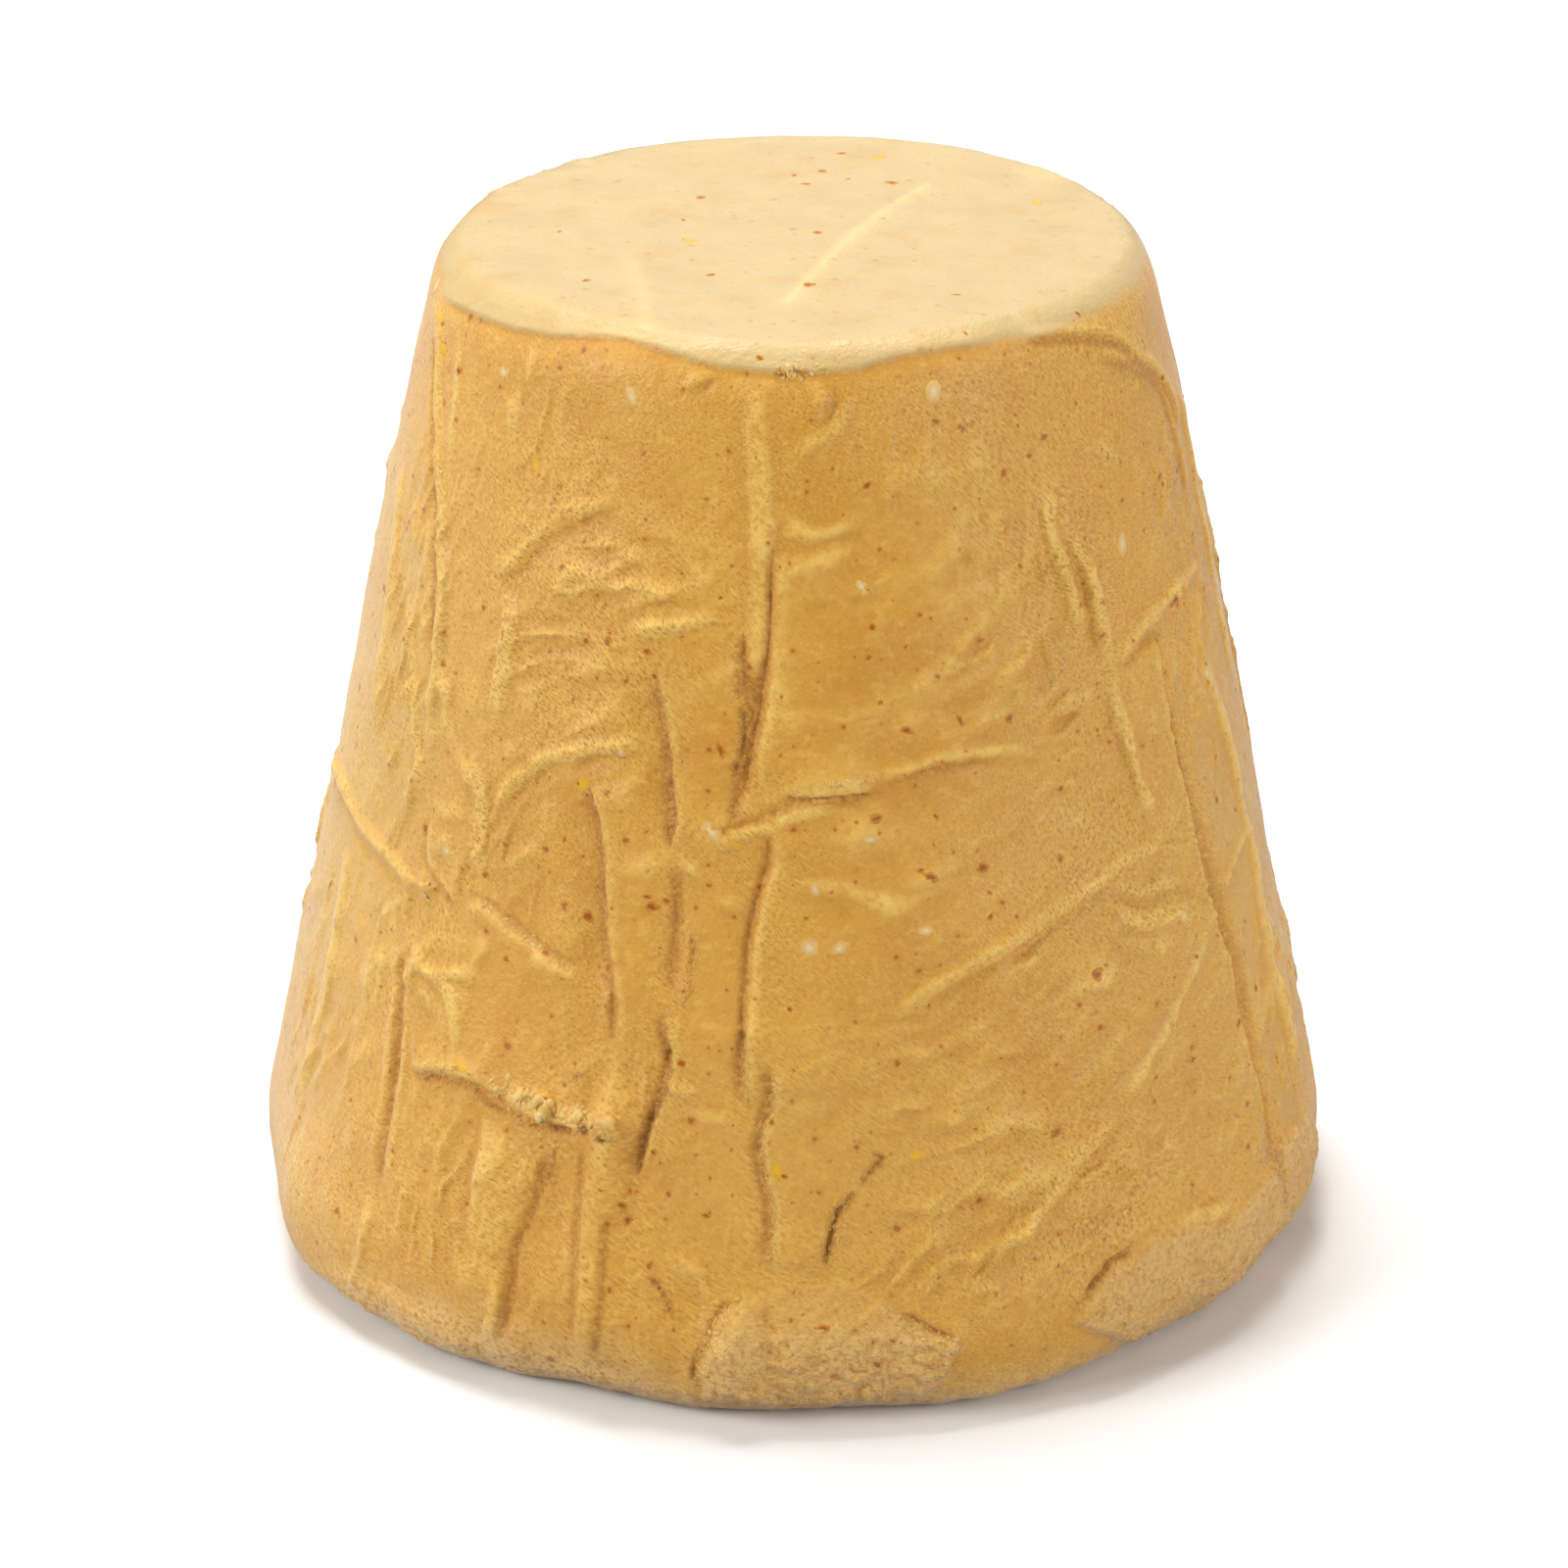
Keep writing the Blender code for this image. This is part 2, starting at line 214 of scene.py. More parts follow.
def rolled(route, passes=2):
    """The route with its corners rounded off."""
    line = np.array(route, float)
    for _ in range(passes if len(route) > 2 else 0):
        inner = np.repeat(line, 2, axis=0)
        inner[1:-1:2] = 0.75 * line[:-1] + 0.25 * line[1:]
        inner[2:-1:2] = 0.25 * line[:-1] + 0.75 * line[1:]
        line = inner
    return line


def along(route, margin, ends):
    """Points within a margin of the route, their signed distance from it and how a fold fades there."""
    line = rolled(route)
    centre = 0.5 * (line[:, 0].min() + line[:, 0].max())
    half_turn = 0.5 * (line[:, 0].max() - line[:, 0].min()) + np.degrees(margin / 30.0)
    low = line[:, 1].min() - margin
    high = line[:, 1].max() + margin
    close = np.flatnonzero((levels_up > low) & (levels_up < high) & (np.abs(turned_from(centre)) < half_turn)
                           & (middle > SIDE_ONLY))
    turn = turned_from(centre)[close]
    up = levels_up[close]
    radius = radii[close]
    best = np.full(len(close), np.inf)
    signed = np.zeros(len(close))
    reached = np.zeros(len(close))
    walked = 0.0
    for start, end in zip(line[:-1], line[1:]):
        right = np.radians(turn - (start[0] - centre)) * radius
        above = up - start[1]
        run = np.radians(end[0] - start[0]) * radius
        rise = end[1] - start[1]
        length = np.sqrt(run ** 2 + rise ** 2) + 1e-9
        part = np.clip((right * run + above * rise) / length ** 2, 0, 1)
        gap = np.hypot(right - part * run, above - part * rise)
        closer = gap < best
        best[closer] = gap[closer]
        signed[closer] = np.copysign(gap, run * above - rise * right)[closer]
        reached[closer] = (walked + part * length)[closer]
        walked += float(np.median(length)) if len(close) else 0.0
    fade = rounded(np.minimum(reached, walked - reached) / max(ends, 0.01))
    return close, signed, fade


FLANK = 0.30


def flanks(rows):
    """How wide the slope of a fold's side is, crisper in some places than in others."""
    return FLANK * (1.25 + 0.9 * softness[rows])


def welt(route, width, rise, woven_on=0.0, wobble=0.20, ends=3.0):
    """A narrow fold along the route, on crisp flanks over a soft swelling, with a valley on each side."""
    close, signed, fade = along(route, width + 4.5, ends)
    signed = signed + wobble * wander[close]
    gap = np.abs(signed)
    half = 0.66 * width * (1 + 0.5 * girth[close])
    flank = flanks(close)
    top = rounded((half + flank - gap) / (2 * flank)) * (1 - 0.20 * np.minimum(gap / width, 1) ** 2)
    skirt = np.exp(-(gap / 2.2) ** 2)
    valley = np.exp(-((gap - half - 0.55) / 0.50) ** 2)
    strength = fade * (1 + 0.7 * uneven[close])
    push[close] += rise * (0.50 * top + 0.42 * skirt - 0.16 * valley) * strength
    # Painted highlight on the fold's top and painted shade in the valleys beside it.
    painted_light[close] += (top - 0.4 * valley) * strength * min(1.0, rise / 0.30)
    woven[close] += woven_on * top * fade


def swell(route, width, rise, wobble=0.3, ends=4.0):
    """A broad soft fold along the route; a negative rise makes a soft valley."""
    close, signed, fade = along(route, 1.5 * width, ends)
    gap = np.abs(signed + wobble * wander[close])
    form = np.exp(-(gap / (0.45 * width * (1 + 0.3 * girth[close]))) ** 2)
    push[close] += rise * form * fade * (1 + 0.5 * uneven[close])
    # Painted highlight on a swelling; where the rise is negative, painted shade in the soft valley.
    painted_light[close] += 0.4 * np.sign(rise) * form * fade


def furrow(route, width, depth, dirt_shade=0.5, wobble=0.14, ends=2.0):
    """A groove with a flat floor and crisp walls along the route."""
    close, signed, fade = along(route, width + 1.0, ends)
    gap = np.abs(signed + wobble * wander[close])
    flank = flanks(close)
    hollow = rounded((width / 2 * (1 + 0.3 * girth[close]) + flank - gap) / (2 * flank))
    push[close] -= 0.75 * depth * hollow * fade * (1 + 0.3 * uneven[close])
    # Painted shade on the groove's floor, and brown darkening there, partly dirt and partly painted shade.
    painted_light[close] -= 0.6 * hollow * fade
    dirt_and_shade[close] = np.maximum(dirt_and_shade[close], dirt_shade * hollow * fade)


def pleat(route, rise, reach=8.0, dirt_shade=0.4, wobble=0.12, ends=2.0, shade=1.0):
    """A layer that lifts the side right of a downward route, or above a rightward one, over a creased foot.

    A negative rise lifts the other side. The reach is how far the layer takes to come down again.
    """
    close, signed, fade = along(route, 2.5 * reach + 1, ends)
    signed = signed * math.copysign(1, rise) + wobble * wander[close]
    lifted = (0.5 + 0.5 * np.tanh(signed / flanks(close))) * np.exp(-np.maximum(signed, 0) / reach)
    foot = np.exp(-((signed + 0.42) / 0.38) ** 2)
    lip = np.exp(-((signed - 0.45) / 0.40) ** 2)
    push[close] += 0.7 * abs(rise) * (1 + 0.3 * uneven[close]) * (lifted + 0.15 * lip - 0.45 * foot) * fade
    # Painted highlight on the lip and painted shade at the creased foot, scaled by the shade.
    painted_light[close] += shade * (0.9 * lip - 0.8 * foot) * fade
    dirt_and_shade[close] = np.maximum(dirt_and_shade[close], dirt_shade * foot * fade)


def split(route, width, depth, ends=1.2, wobble=0.30):
    """A fine, ragged split in the crust, darkened brown partly by dirt and partly as painted shade."""
    close, signed, fade = along(route, width + 1.2, ends)
    gap = np.abs(signed + wobble * wander[close])
    hollow = np.exp(-(gap / (0.55 * width)) ** 2)
    broken = rounded(0.75 + 1.0 * uneven[close] + 0.5 * wander[close])
    push[close] -= depth * hollow * fade * broken
    dirt_and_shade[close] = np.maximum(dirt_and_shade[close], hollow * fade * broken)
    crumble[close] = np.maximum(crumble[close], np.exp(-(gap / (1.2 * width)) ** 2) * fade)


def ripples(angle, height, wide, high, slope, pitch, rise):
    """A patch of fine creases that climb to the right by a slope in degrees, forking and dying out."""
    inside = patch(angle, height, wide, high, edge=0.8)
    rows = np.flatnonzero(inside > 0.01)
    right = np.radians(turned_from(angle)[rows]) * radii[rows]
    up = levels_up[rows] - height
    lean = math.radians(slope)
    run = right * math.cos(lean) + up * math.sin(lean)
    over = up * math.cos(lean) - right * math.sin(lean) + 0.5 * wander[rows]
    waves = np.array([noise.noise(Vector((one / (3.2 * pitch), other / pitch, angle)))
                      for one, other in zip(run, over)])
    creased = np.clip(1 - 3.2 * np.abs(waves), 0, 1) ** 1.4 - 0.30
    strength = inside[rows] * rounded(0.6 + 1.5 * girth[rows])
    push[rows] += 1.6 * rise * creased * strength
    # Painted highlight on the fine creases' ridges and painted shade between them.
    painted_light[rows] += 0.9 * creased * strength


def inside_of(outline, edge, ragged=0.2):
    """How far inside a closed outline each point lies, from 0 on it to 1 past a soft edge in millimetres."""
    closed = list(outline) + [outline[0]]
    close, signed, _ = along(closed, 30.0, 0.01)
    line = rolled(closed)
    turn = turned_from(line[0, 0])[close] + line[0, 0]
    up = levels_up[close]
    within = np.zeros(len(close), bool)
    for (turn_a, up_a), (turn_b, up_b) in zip(line[:-1], line[1:]):
        if up_a == up_b:
            continue
        crossed = (up_a > up) != (up_b > up)
        within ^= crossed & (turn < turn_a + (up - up_a) * (turn_b - turn_a) / (up_b - up_a))
    mask = np.zeros(len(places))
    mask[close] = np.where(within, rounded((np.abs(signed) + ragged * wander[close]) / edge), 0.0)
    return mask


def sunken(outline, edge, ragged, depth, dirt_shade, painted_shade):
    """A band inside a closed outline that is sunk and darkened: brown partly from dirt and partly as painted
    shade, with more painted shade.
    """
    inside = inside_of(outline, edge, ragged)
    push[:] -= depth * inside
    dirt_and_shade[:] = np.maximum(dirt_and_shade, dirt_shade * inside)
    painted_light[:] -= painted_shade * inside


def dome(route, wide, high, rise, edge, ragged=0.0):
    """A lump at a single place, or a dent where the rise is negative."""
    push[:] += rise * patch(*route[0], wide, high, edge, ragged)


def hole_darkening(route, wide, high, edge):
    """Brown darkening in a hole at a single place, partly dirt and partly painted shade."""
    dirt_and_shade[:] = np.maximum(dirt_and_shade, patch(*route[0], wide, high, edge))


def beside(route, turn, up=0.0):
    """The route moved round by degrees and up by millimetres."""
    return [(angle + turn, height + up) for angle, height in route]


def next_to(route, turn, kind, *sizes):
    """A fold of a kind beside the route, moved round by degrees."""
    kind(beside(route, turn), *sizes)


def soft_folds(routes, width, rise, below, valley_width, valley_rise):
    """Soft folds along routes in the photograph, each over a soft valley a little below it."""
    for route in routes:
        line = on_cheese(route)
        swell(line, width, rise)
        swell(beside(line, 0, -below), valley_width, valley_rise)


def press(folds):
    """Presses named folds in turn. Each has its kinds with their sizes, then its route in the photograph."""
    for *kinds, route in folds.values():
        line = on_cheese(route)
        for kind, *sizes in kinds:
            kind(line, *sizes)


# Foot: pale lumps of curd pressed out round the knot, with cauliflower bumps and cracked edges
knob_front = inside_of(on_cheese((
    717, 1428, 713, 1400, 722, 1362, 733, 1342, 747, 1326, 768, 1321, 790, 1309, 845, 1303, 890, 1313,
    915, 1338, 950, 1360, 990, 1366, 975, 1392, 950, 1428, 850, 1437, 780, 1434)), 0.9, ragged=0.55)
knob_right = inside_of(on_cheese((
    1086, 1352, 1105, 1325, 1122, 1305, 1137, 1286, 1157, 1272, 1195, 1248, 1230, 1237, 1262, 1230))
    + [(76, 14), (84, 4), (70, -2), (45, -2)], 1.1, ragged=0.5)
knob_lobe = inside_of(on_cheese((
    722, 1424, 713, 1405, 711, 1382, 717, 1361, 729, 1343, 745, 1329, 762, 1326, 773, 1340, 777, 1375,
    780, 1428, 750, 1434)), 3.4, ragged=0.50)
knob_left = patch(-7, 4, 9, 17, edge=0.3, ragged=0.05)
knob_front *= 1 - 0.70 * rounded((levels_up - 7.5) / 4.0)
push += 0.34 * knob_front + 0.85 * knob_lobe + 0.40 * knob_right + 0.3 * knob_left
for across, down, size, rise in ((738, 1345, 2.6, 0.35), (760, 1360, 2.4, 0.30), (733, 1375, 2.6, 0.35),
                                 (755, 1395, 2.4, 0.30), (776, 1335, 2.2, 0.25), (738, 1410, 2.2, 0.30),
                                 (945, 1385, 3.0, 0.20), (1120, 1330, 3.0, 0.25), (1150, 1345, 3.0, 0.20)):
    dome(on_cheese((across, down)), size, 0.85 * size, rise, 1.0, 0.25)
for pale in (0.65 * knob_front, 0.85 * knob_lobe, 0.60 * knob_right,
             patch(-38, -3, 76, 25, 0.5, 0.12), 0.9 * patch(20, -4, 52, 20, 0.5, 0.12),
             0.5 * patch(-68, 8, 44, 36, 0.9, 0.12)):
    bloom = np.maximum(bloom, pale)
cauliflower = np.maximum(np.maximum(knob_front, 1.3 * knob_lobe), 0.7 * knob_right)

# Front: the seam where the cloth's edges met, its sunken valley darkened brown partly by dirt and partly as
# painted shade, and the layers on each side of it
press({
    "seam_ridge": ((welt, 1.2, 0.35), (775, 384, 772, 441, 775, 500, 776, 560, 775, 620, 774, 660,
        769, 700)),
    "seam_band": ((sunken, 0.6, 0.35, 0.25, 0.80, 0.5), (786, 560, 782, 600, 781, 640, 776, 676, 768, 694,
        765, 640, 752, 640, 756, 676, 752, 694, 758, 730, 760, 748, 755, 778, 747, 802, 738, 838, 752, 842,
        766, 812, 771, 785, 776, 758, 783, 728, 788, 690, 792, 640, 791, 560)),
    "seam_crumbs": ((split, 0.50, 0.35), (752, 640, 754, 676, 752, 694, 758, 730, 761, 748, 755, 778,
        747, 802)),
    "upper_layer": ((pleat, 0.55, 12, 0.4), (790, 560, 791, 610, 789, 652, 786, 688, 782, 730, 774, 760,
        770, 790, 768, 812)),
    "lower_layer": ((pleat, 0.80, 10, 0.7), (784, 843, 791, 865, 788, 885, 781, 905, 774, 935, 768, 965,
        766, 1000, 763, 1040, 759, 1080, 760, 1130)),
    "second_layer": ((pleat, 0.60, 7, 0.6), (split, 0.42, 0.32), (783, 1080, 790, 1110, 782, 1140, 773, 1170,
        780, 1200, 787, 1225, 788, 1255, 783, 1300)),
    "layer_split": ((split, 0.42, 0.30), (761, 1040, 757, 1085, 760, 1130)),
    "level_ridge": ((welt, 1.1, 0.42, 0.3), (643, 662, 643, 648, 652, 641, 680, 635, 710, 632, 748, 625)),
    "level_line": ((swell, 1.4, -0.18), (640, 640, 660, 630, 700, 625, 740, 612)),
})

# Front left: three long grooves, crumbly at the bottom, each with a soft slope on its left and a crisp edge
press({
    "groove_upper": ((pleat, 0.55, 6, 0.8), (split, 0.42, 0.42), (665, 684, 673, 700, 678, 722, 681, 745,
        684, 770, 686, 800, 688, 830, 687, 850, 683, 868)),
    "groove_upper_slope": ((swell, 3.4, -0.40), (655, 690, 667, 730, 672, 775, 676, 820, 675, 860)),
    "groove_middle": ((furrow, 1.1, 0.45, 0.5), (swell, 4.0, -0.35), (690, 880, 691, 920, 690, 955, 688, 988,
        684, 1025)),
    "groove_thread": ((split, 0.35, 0.22), (707, 950, 705, 985, 700, 1010, 694, 1030)),
    "groove_lower": ((pleat, 0.60, 6, 0.8), (split, 0.50, 0.50), (684, 1025, 678, 1050, 688, 1078, 680, 1105,
        675, 1125, 664, 1150, 655, 1180, 647, 1205)),
    "groove_lower_slope": ((swell, 3.6, -0.40), (662, 1145, 655, 1180, 648, 1215, 640, 1250, 638, 1300)),
    "foot_thread": ((split, 0.42, 0.28), (655, 1300, 670, 1308, 680, 1330, 692, 1350)),
    "left_groove": ((pleat, 0.70, 5, 0.6), (599, 797, 605, 815, 612, 835, 616, 860, 618, 900, 618, 940,
        622, 965, 627, 1000, 632, 1030, 628, 1070)),
    "left_groove_crumbs": ((split, 0.40, 0.30), (599, 800, 606, 820, 613, 845, 616, 880, 617, 915,
        620, 950)),
    "left_groove_slope": ((swell, 3.4, -0.45), (588, 810, 600, 860, 604, 920, 608, 970, 616, 1030)),
})

# Front: creases across the layers
press({
    "long_crease": ((welt, 0.9, 0.42, 0.3), (500, 822, 520, 805, 550, 777, 570, 769, 600, 764, 640, 760,
        665, 750)),
    "long_crease_shade": ((swell, 1.6, -0.30), (512, 824, 540, 797, 570, 781, 610, 775, 650, 771)),
    "short_crease": ((welt, 0.9, 0.38), (625, 885, 645, 885, 667, 882, 682, 870)),
    "cross_upper": ((welt, 0.8, 0.40), (685, 868, 700, 880, 715, 895, 730, 901)),
    "cross_lower": ((welt, 0.8, 0.38), (718, 915, 735, 918, 755, 922, 769, 931)),
    "rising_crease": ((welt, 0.9, 0.50), (723, 870, 735, 859, 756, 849, 782, 843, 812, 830, 842, 821,
        872, 815)),
    "rising_crease_line": ((furrow, 0.5, 0.35, 0.8), (722, 860, 740, 847, 765, 836, 795, 826, 820, 816)),
    "torn_flap": ((pleat, 0.40, 1.5, 0.5, 0.3, 1.5), (split, 0.36, 0.30, 0.8), (800, 811, 815, 815, 836, 812,
        860, 813, 892, 809)),
    "torn_flap_edge": ((welt, 0.5, 0.30), (817, 802, 850, 798, 880, 800, 897, 801)),
    "right_crease": ((welt, 0.85, 0.42), (885, 796, 925, 788, 960, 771, 990, 766, 1020, 764, 1042, 762,
        1064, 757)),
    "right_crease_line": ((furrow, 0.5, 0.35, 0.55), (895, 798, 917, 797, 940, 787, 960, 782, 990, 778,
        1015, 777)),
    "faint_crease": ((welt, 1.1, 0.25), (800, 905, 830, 903, 860, 908, 890, 915, 920, 925, 945, 928)),
    "faint_valley": ((swell, 1.8, -0.15), (820, 918, 860, 922, 900, 932)),
    "lower_faint": ((swell, 1.4, -0.16), (820, 1060, 860, 1068, 915, 1075)),
    "knuckle": ((welt, 0.9, 0.40, 0.0, 0.20, 0.8), (690, 1119, 699, 1109, 712, 1120)),
    "knuckle_band": ((welt, 0.8, 0.45), (700, 1136, 720, 1137, 745, 1142, 758, 1152)),
    "knuckle_shade": ((furrow, 0.4, 0.25, 0.3), (702, 1127, 722, 1128, 745, 1132)),
    "slanting_thread": ((welt, 0.8, 0.22), (706, 1068, 720, 1085, 735, 1100, 743, 1110)),
    "upper_squiggle": ((split, 0.45, 0.30), (888, 1172, 903, 1181, 893, 1190, 882, 1202, 875, 1212)),
    "lower_squiggle": ((split, 0.55, 0.55), (875, 1212, 862, 1225, 853, 1240, 848, 1260, 843, 1280,
        841, 1297)),
    "square_lump": ((dome, 6.0, 5.0, 0.22, 0.5, 0.2), (818, 1271)),
})
soft_folds(((900, 1192, 925, 1181, 955, 1183), (980, 1170, 1010, 1155, 1045, 1142, 1075, 1145), (960, 1210,
    990, 1215, 1030, 1215, 1052, 1203), (890, 1240, 930, 1228, 975, 1232), (1060, 1180, 1090, 1172,
    1112, 1176), (930, 1150, 965, 1140, 1000, 1128)), 1.7, 0.34, 1.5, 1.8, -0.24)

# Under the rim in front: hooked folds where the gathered cloth was drawn in
press({
    "short_diagonal": ((welt, 0.8, 0.40), (690, 402, 705, 390, 718, 381, 735, 372)),
    "short_diagonal_line": ((furrow, 0.5, 0.35, 0.8), (703, 408, 720, 395, 738, 381)),
    "inner_hook": ((welt, 0.8, 0.40), (815, 385, 830, 390, 838, 405, 838, 425, 830, 440)),
    "outer_hook": ((welt, 0.8, 0.45), (868, 400, 862, 425, 848, 440, 822, 458, 803, 478)),
    "hook_shade": ((furrow, 0.6, 0.35, 0.35), (851, 390, 853, 410, 846, 430, 833, 443)),
    "wavy_fold": ((welt, 0.9, 0.28), (790, 536, 812, 539, 834, 546, 856, 539, 874, 531, 889, 521)),
    "soft_diagonal": ((swell, 2.0, 0.35), (990, 525, 980, 540, 970, 558, 960, 580, 935, 605)),
    "notch_in_rim": ((split, 0.5, 0.30), (800, 372, 812, 378, 822, 392)),
})

# Left: two long gathers down the edge, and the flap of curd between them and the grooves
press({
    "long_gather": ((welt, 0.85, 0.60), (450, 292, 451, 340, 449, 400, 449, 450, 451, 500, 453, 560,
        454, 608, 450, 650, 447, 690, 442, 730, 441, 780)),
    "gather_groove": ((furrow, 0.5, 0.45, 1.0), (443, 340, 442, 420, 443, 500, 446, 560, 445, 610, 443, 650,
        440, 690)),
    "second_gather": ((welt, 0.7, 0.30), (470, 340, 468, 400, 463, 450, 459, 490)),
    "kinked_gather": ((welt, 0.85, 0.50), (456, 605, 453, 650, 451, 690, 461, 705, 458, 740, 463, 765,
        475, 785, 492, 815)),
    "thread_under_rim": ((welt, 0.6, 0.30), (546, 345, 543, 370, 541, 400)),
    "soft_upright": ((welt, 1.2, 0.22), (527, 385, 524, 430, 521, 460)),
    "curved_fold": ((welt, 0.9, 0.50, 0.4), (500, 585, 520, 575, 535, 561, 550, 546, 567, 534, 600, 519,
        636, 506)),
    "curved_fold_shade": ((swell, 2.6, -0.45), (520, 592, 548, 568, 575, 549, 608, 535, 642, 524)),
    "upright_fold": ((welt, 1.2, 0.40, 0.9), (520, 595, 522, 640, 514, 690, 507, 720, 503, 745)),
})
soft_folds(((610, 578, 640, 568, 680, 572), (600, 600, 650, 592, 690, 590), (465, 620, 500, 620),
    (640, 545, 680, 540, 720, 548), (630, 615, 670, 606, 720, 600)), 1.4, 0.24, 1.2, 1.5, -0.18)
press({
    "outer_gather": ((welt, 0.9, 0.38, 0.5), (418, 600, 420, 640, 423, 700, 424, 740, 430, 780, 430, 805,
        437, 822)),
    "wedge": ((welt, 1.3, 0.40, 0.6), (438, 819, 460, 831, 482, 822)),
    "wedge_lump": ((dome, 3.2, 2.2, 0.6, 0.7, 0.2), (436, 902)),
    "flap_edge": ((pleat, 0.45, 4, 0.3), (438, 830, 437, 860, 438, 885, 450, 900, 462, 918, 475, 925)),
    "flap_border": ((welt, 0.9, 0.50), (345, 768, 350, 790, 360, 820, 372, 845, 390, 865, 405, 880, 418, 895,
        432, 910)),
    "flap_border_shade": ((swell, 1.6, -0.30), (356, 836, 368, 860, 386, 880, 404, 896, 424, 914)),
    "vee_fold": ((welt, 1.1, 0.42, 1.0), (472, 765, 490, 790, 495, 820, 490, 845, 488, 870, 492, 890,
        494, 908)),
    "peeled_edge": ((pleat, -0.45, 4, 0.3), (470, 922, 490, 918, 505, 930, 520, 945, 535, 955, 560, 975,
        600, 1000)),
    "lower_peel": ((welt, 0.8, 0.42), (420, 945, 422, 960, 432, 985, 445, 992, 480, 990, 500, 1000)),
    "soft_left": ((welt, 1.1, 0.28), (400, 920, 403, 950, 398, 980)),
    "yellow_fold": ((welt, 0.8, 0.42), (432, 985, 450, 1002, 463, 1012, 470, 1040, 468, 1078)),
    "yellow_fold_inner": ((welt, 0.8, 0.30), (425, 990, 435, 1010, 447, 1030, 454, 1048)),
    "channel": ((furrow, 0.7, 0.50, 0.75), (next_to, -1.5, welt, 0.5, 0.28), (next_to, 1.5, welt, 0.5, 0.24),
        (411, 965, 412, 1000, 408, 1045, 404, 1090, 398, 1130, 392, 1170, 386, 1212)),
    "channel_end": ((welt, 0.7, 0.35), (381, 1210, 376, 1240, 370, 1270, 365, 1295, 360, 1322)),
})

# Lower left: the flap's crumbled lower edge with its knot, and the soft folds that hang below it
press({
    "crumbled_edge": ((pleat, 0.75, 4, 0.25, 0.12, 1.0), (420, 1090, 440, 1091, 462, 1094, 485, 1101,
        502, 1112, 522, 1124, 545, 1138, 570, 1146, 602, 1152)),
    "edge_crack": ((split, 0.50, 0.40), (425, 1098, 445, 1101, 465, 1104, 485, 1111, 500, 1129, 520, 1134,
        545, 1149, 565, 1153, 590, 1158)),
    "crumbled_curd": ((dome, 5.2, 2.8, 0.55, 0.4, 0.25), (545, 1125)),
    "knot": ((dome, 3.4, 2.6, 0.65, 0.5, 0.2), (618, 1146)),
    "knot_hole": ((dome, 1.2, 1.1, -1.0, 0.8), (hole_darkening, 1.5, 1.3, 0.8), (620, 1157)),
    "curd_by_knot": ((dome, 4.0, 2.0, 0.35, 0.5, 0.3), (590, 1140)),
    "small_crack": ((split, 0.42, 0.25), (598, 1088, 590, 1100, 584, 1108)),
    "drape_left": ((pleat, 0.40, 4, 0.15), (495, 1130, 493, 1155, 487, 1190, 480, 1230, 475, 1280)),
    "drape_groove": ((furrow, 0.9, 0.40, 0.70), (next_to, 1.2, swell, 4.0, -0.28), (560, 1171, 553, 1200,
        544, 1234, 535, 1254, 526, 1272, 521, 1300, 519, 1333, 512, 1370)),
    "drape_band": ((swell, 5.5, 0.40), (526, 1140, 518, 1180, 508, 1225, 498, 1262)),
    "drape_band_edge": ((welt, 0.9, 0.40), (506, 1290, 504, 1335, 501, 1378)),
    "drape_thread": ((split, 0.40, 0.20), (568, 1165, 561, 1190, 556, 1215)),
    "drape_ridge": ((swell, 3.8, 0.82, 0.3, 5), (640, 1085, 630, 1149, 617, 1189, 608, 1270, 604, 1342,
        600, 1396)),
    "drape_ridge_left": ((furrow, 0.6, 0.30, 0.5), (597, 1165, 593, 1210, 590, 1260, 588, 1320, 586, 1370)),
    "drape_ridge_foot": ((furrow, 0.6, 0.35, 0.7), (620, 1230, 618, 1290, 613, 1350, 606, 1392)),
})
for thread in ((350, 1095, 370, 1080, 392, 1060), (365, 1130, 358, 1160, 355, 1200), (330, 1190,
    336, 1230, 345, 1270), (452, 1150, 446, 1200, 440, 1260), (420, 1180, 412, 1230, 404, 1290)):
    swell(on_cheese(thread), 1.6, 0.32)

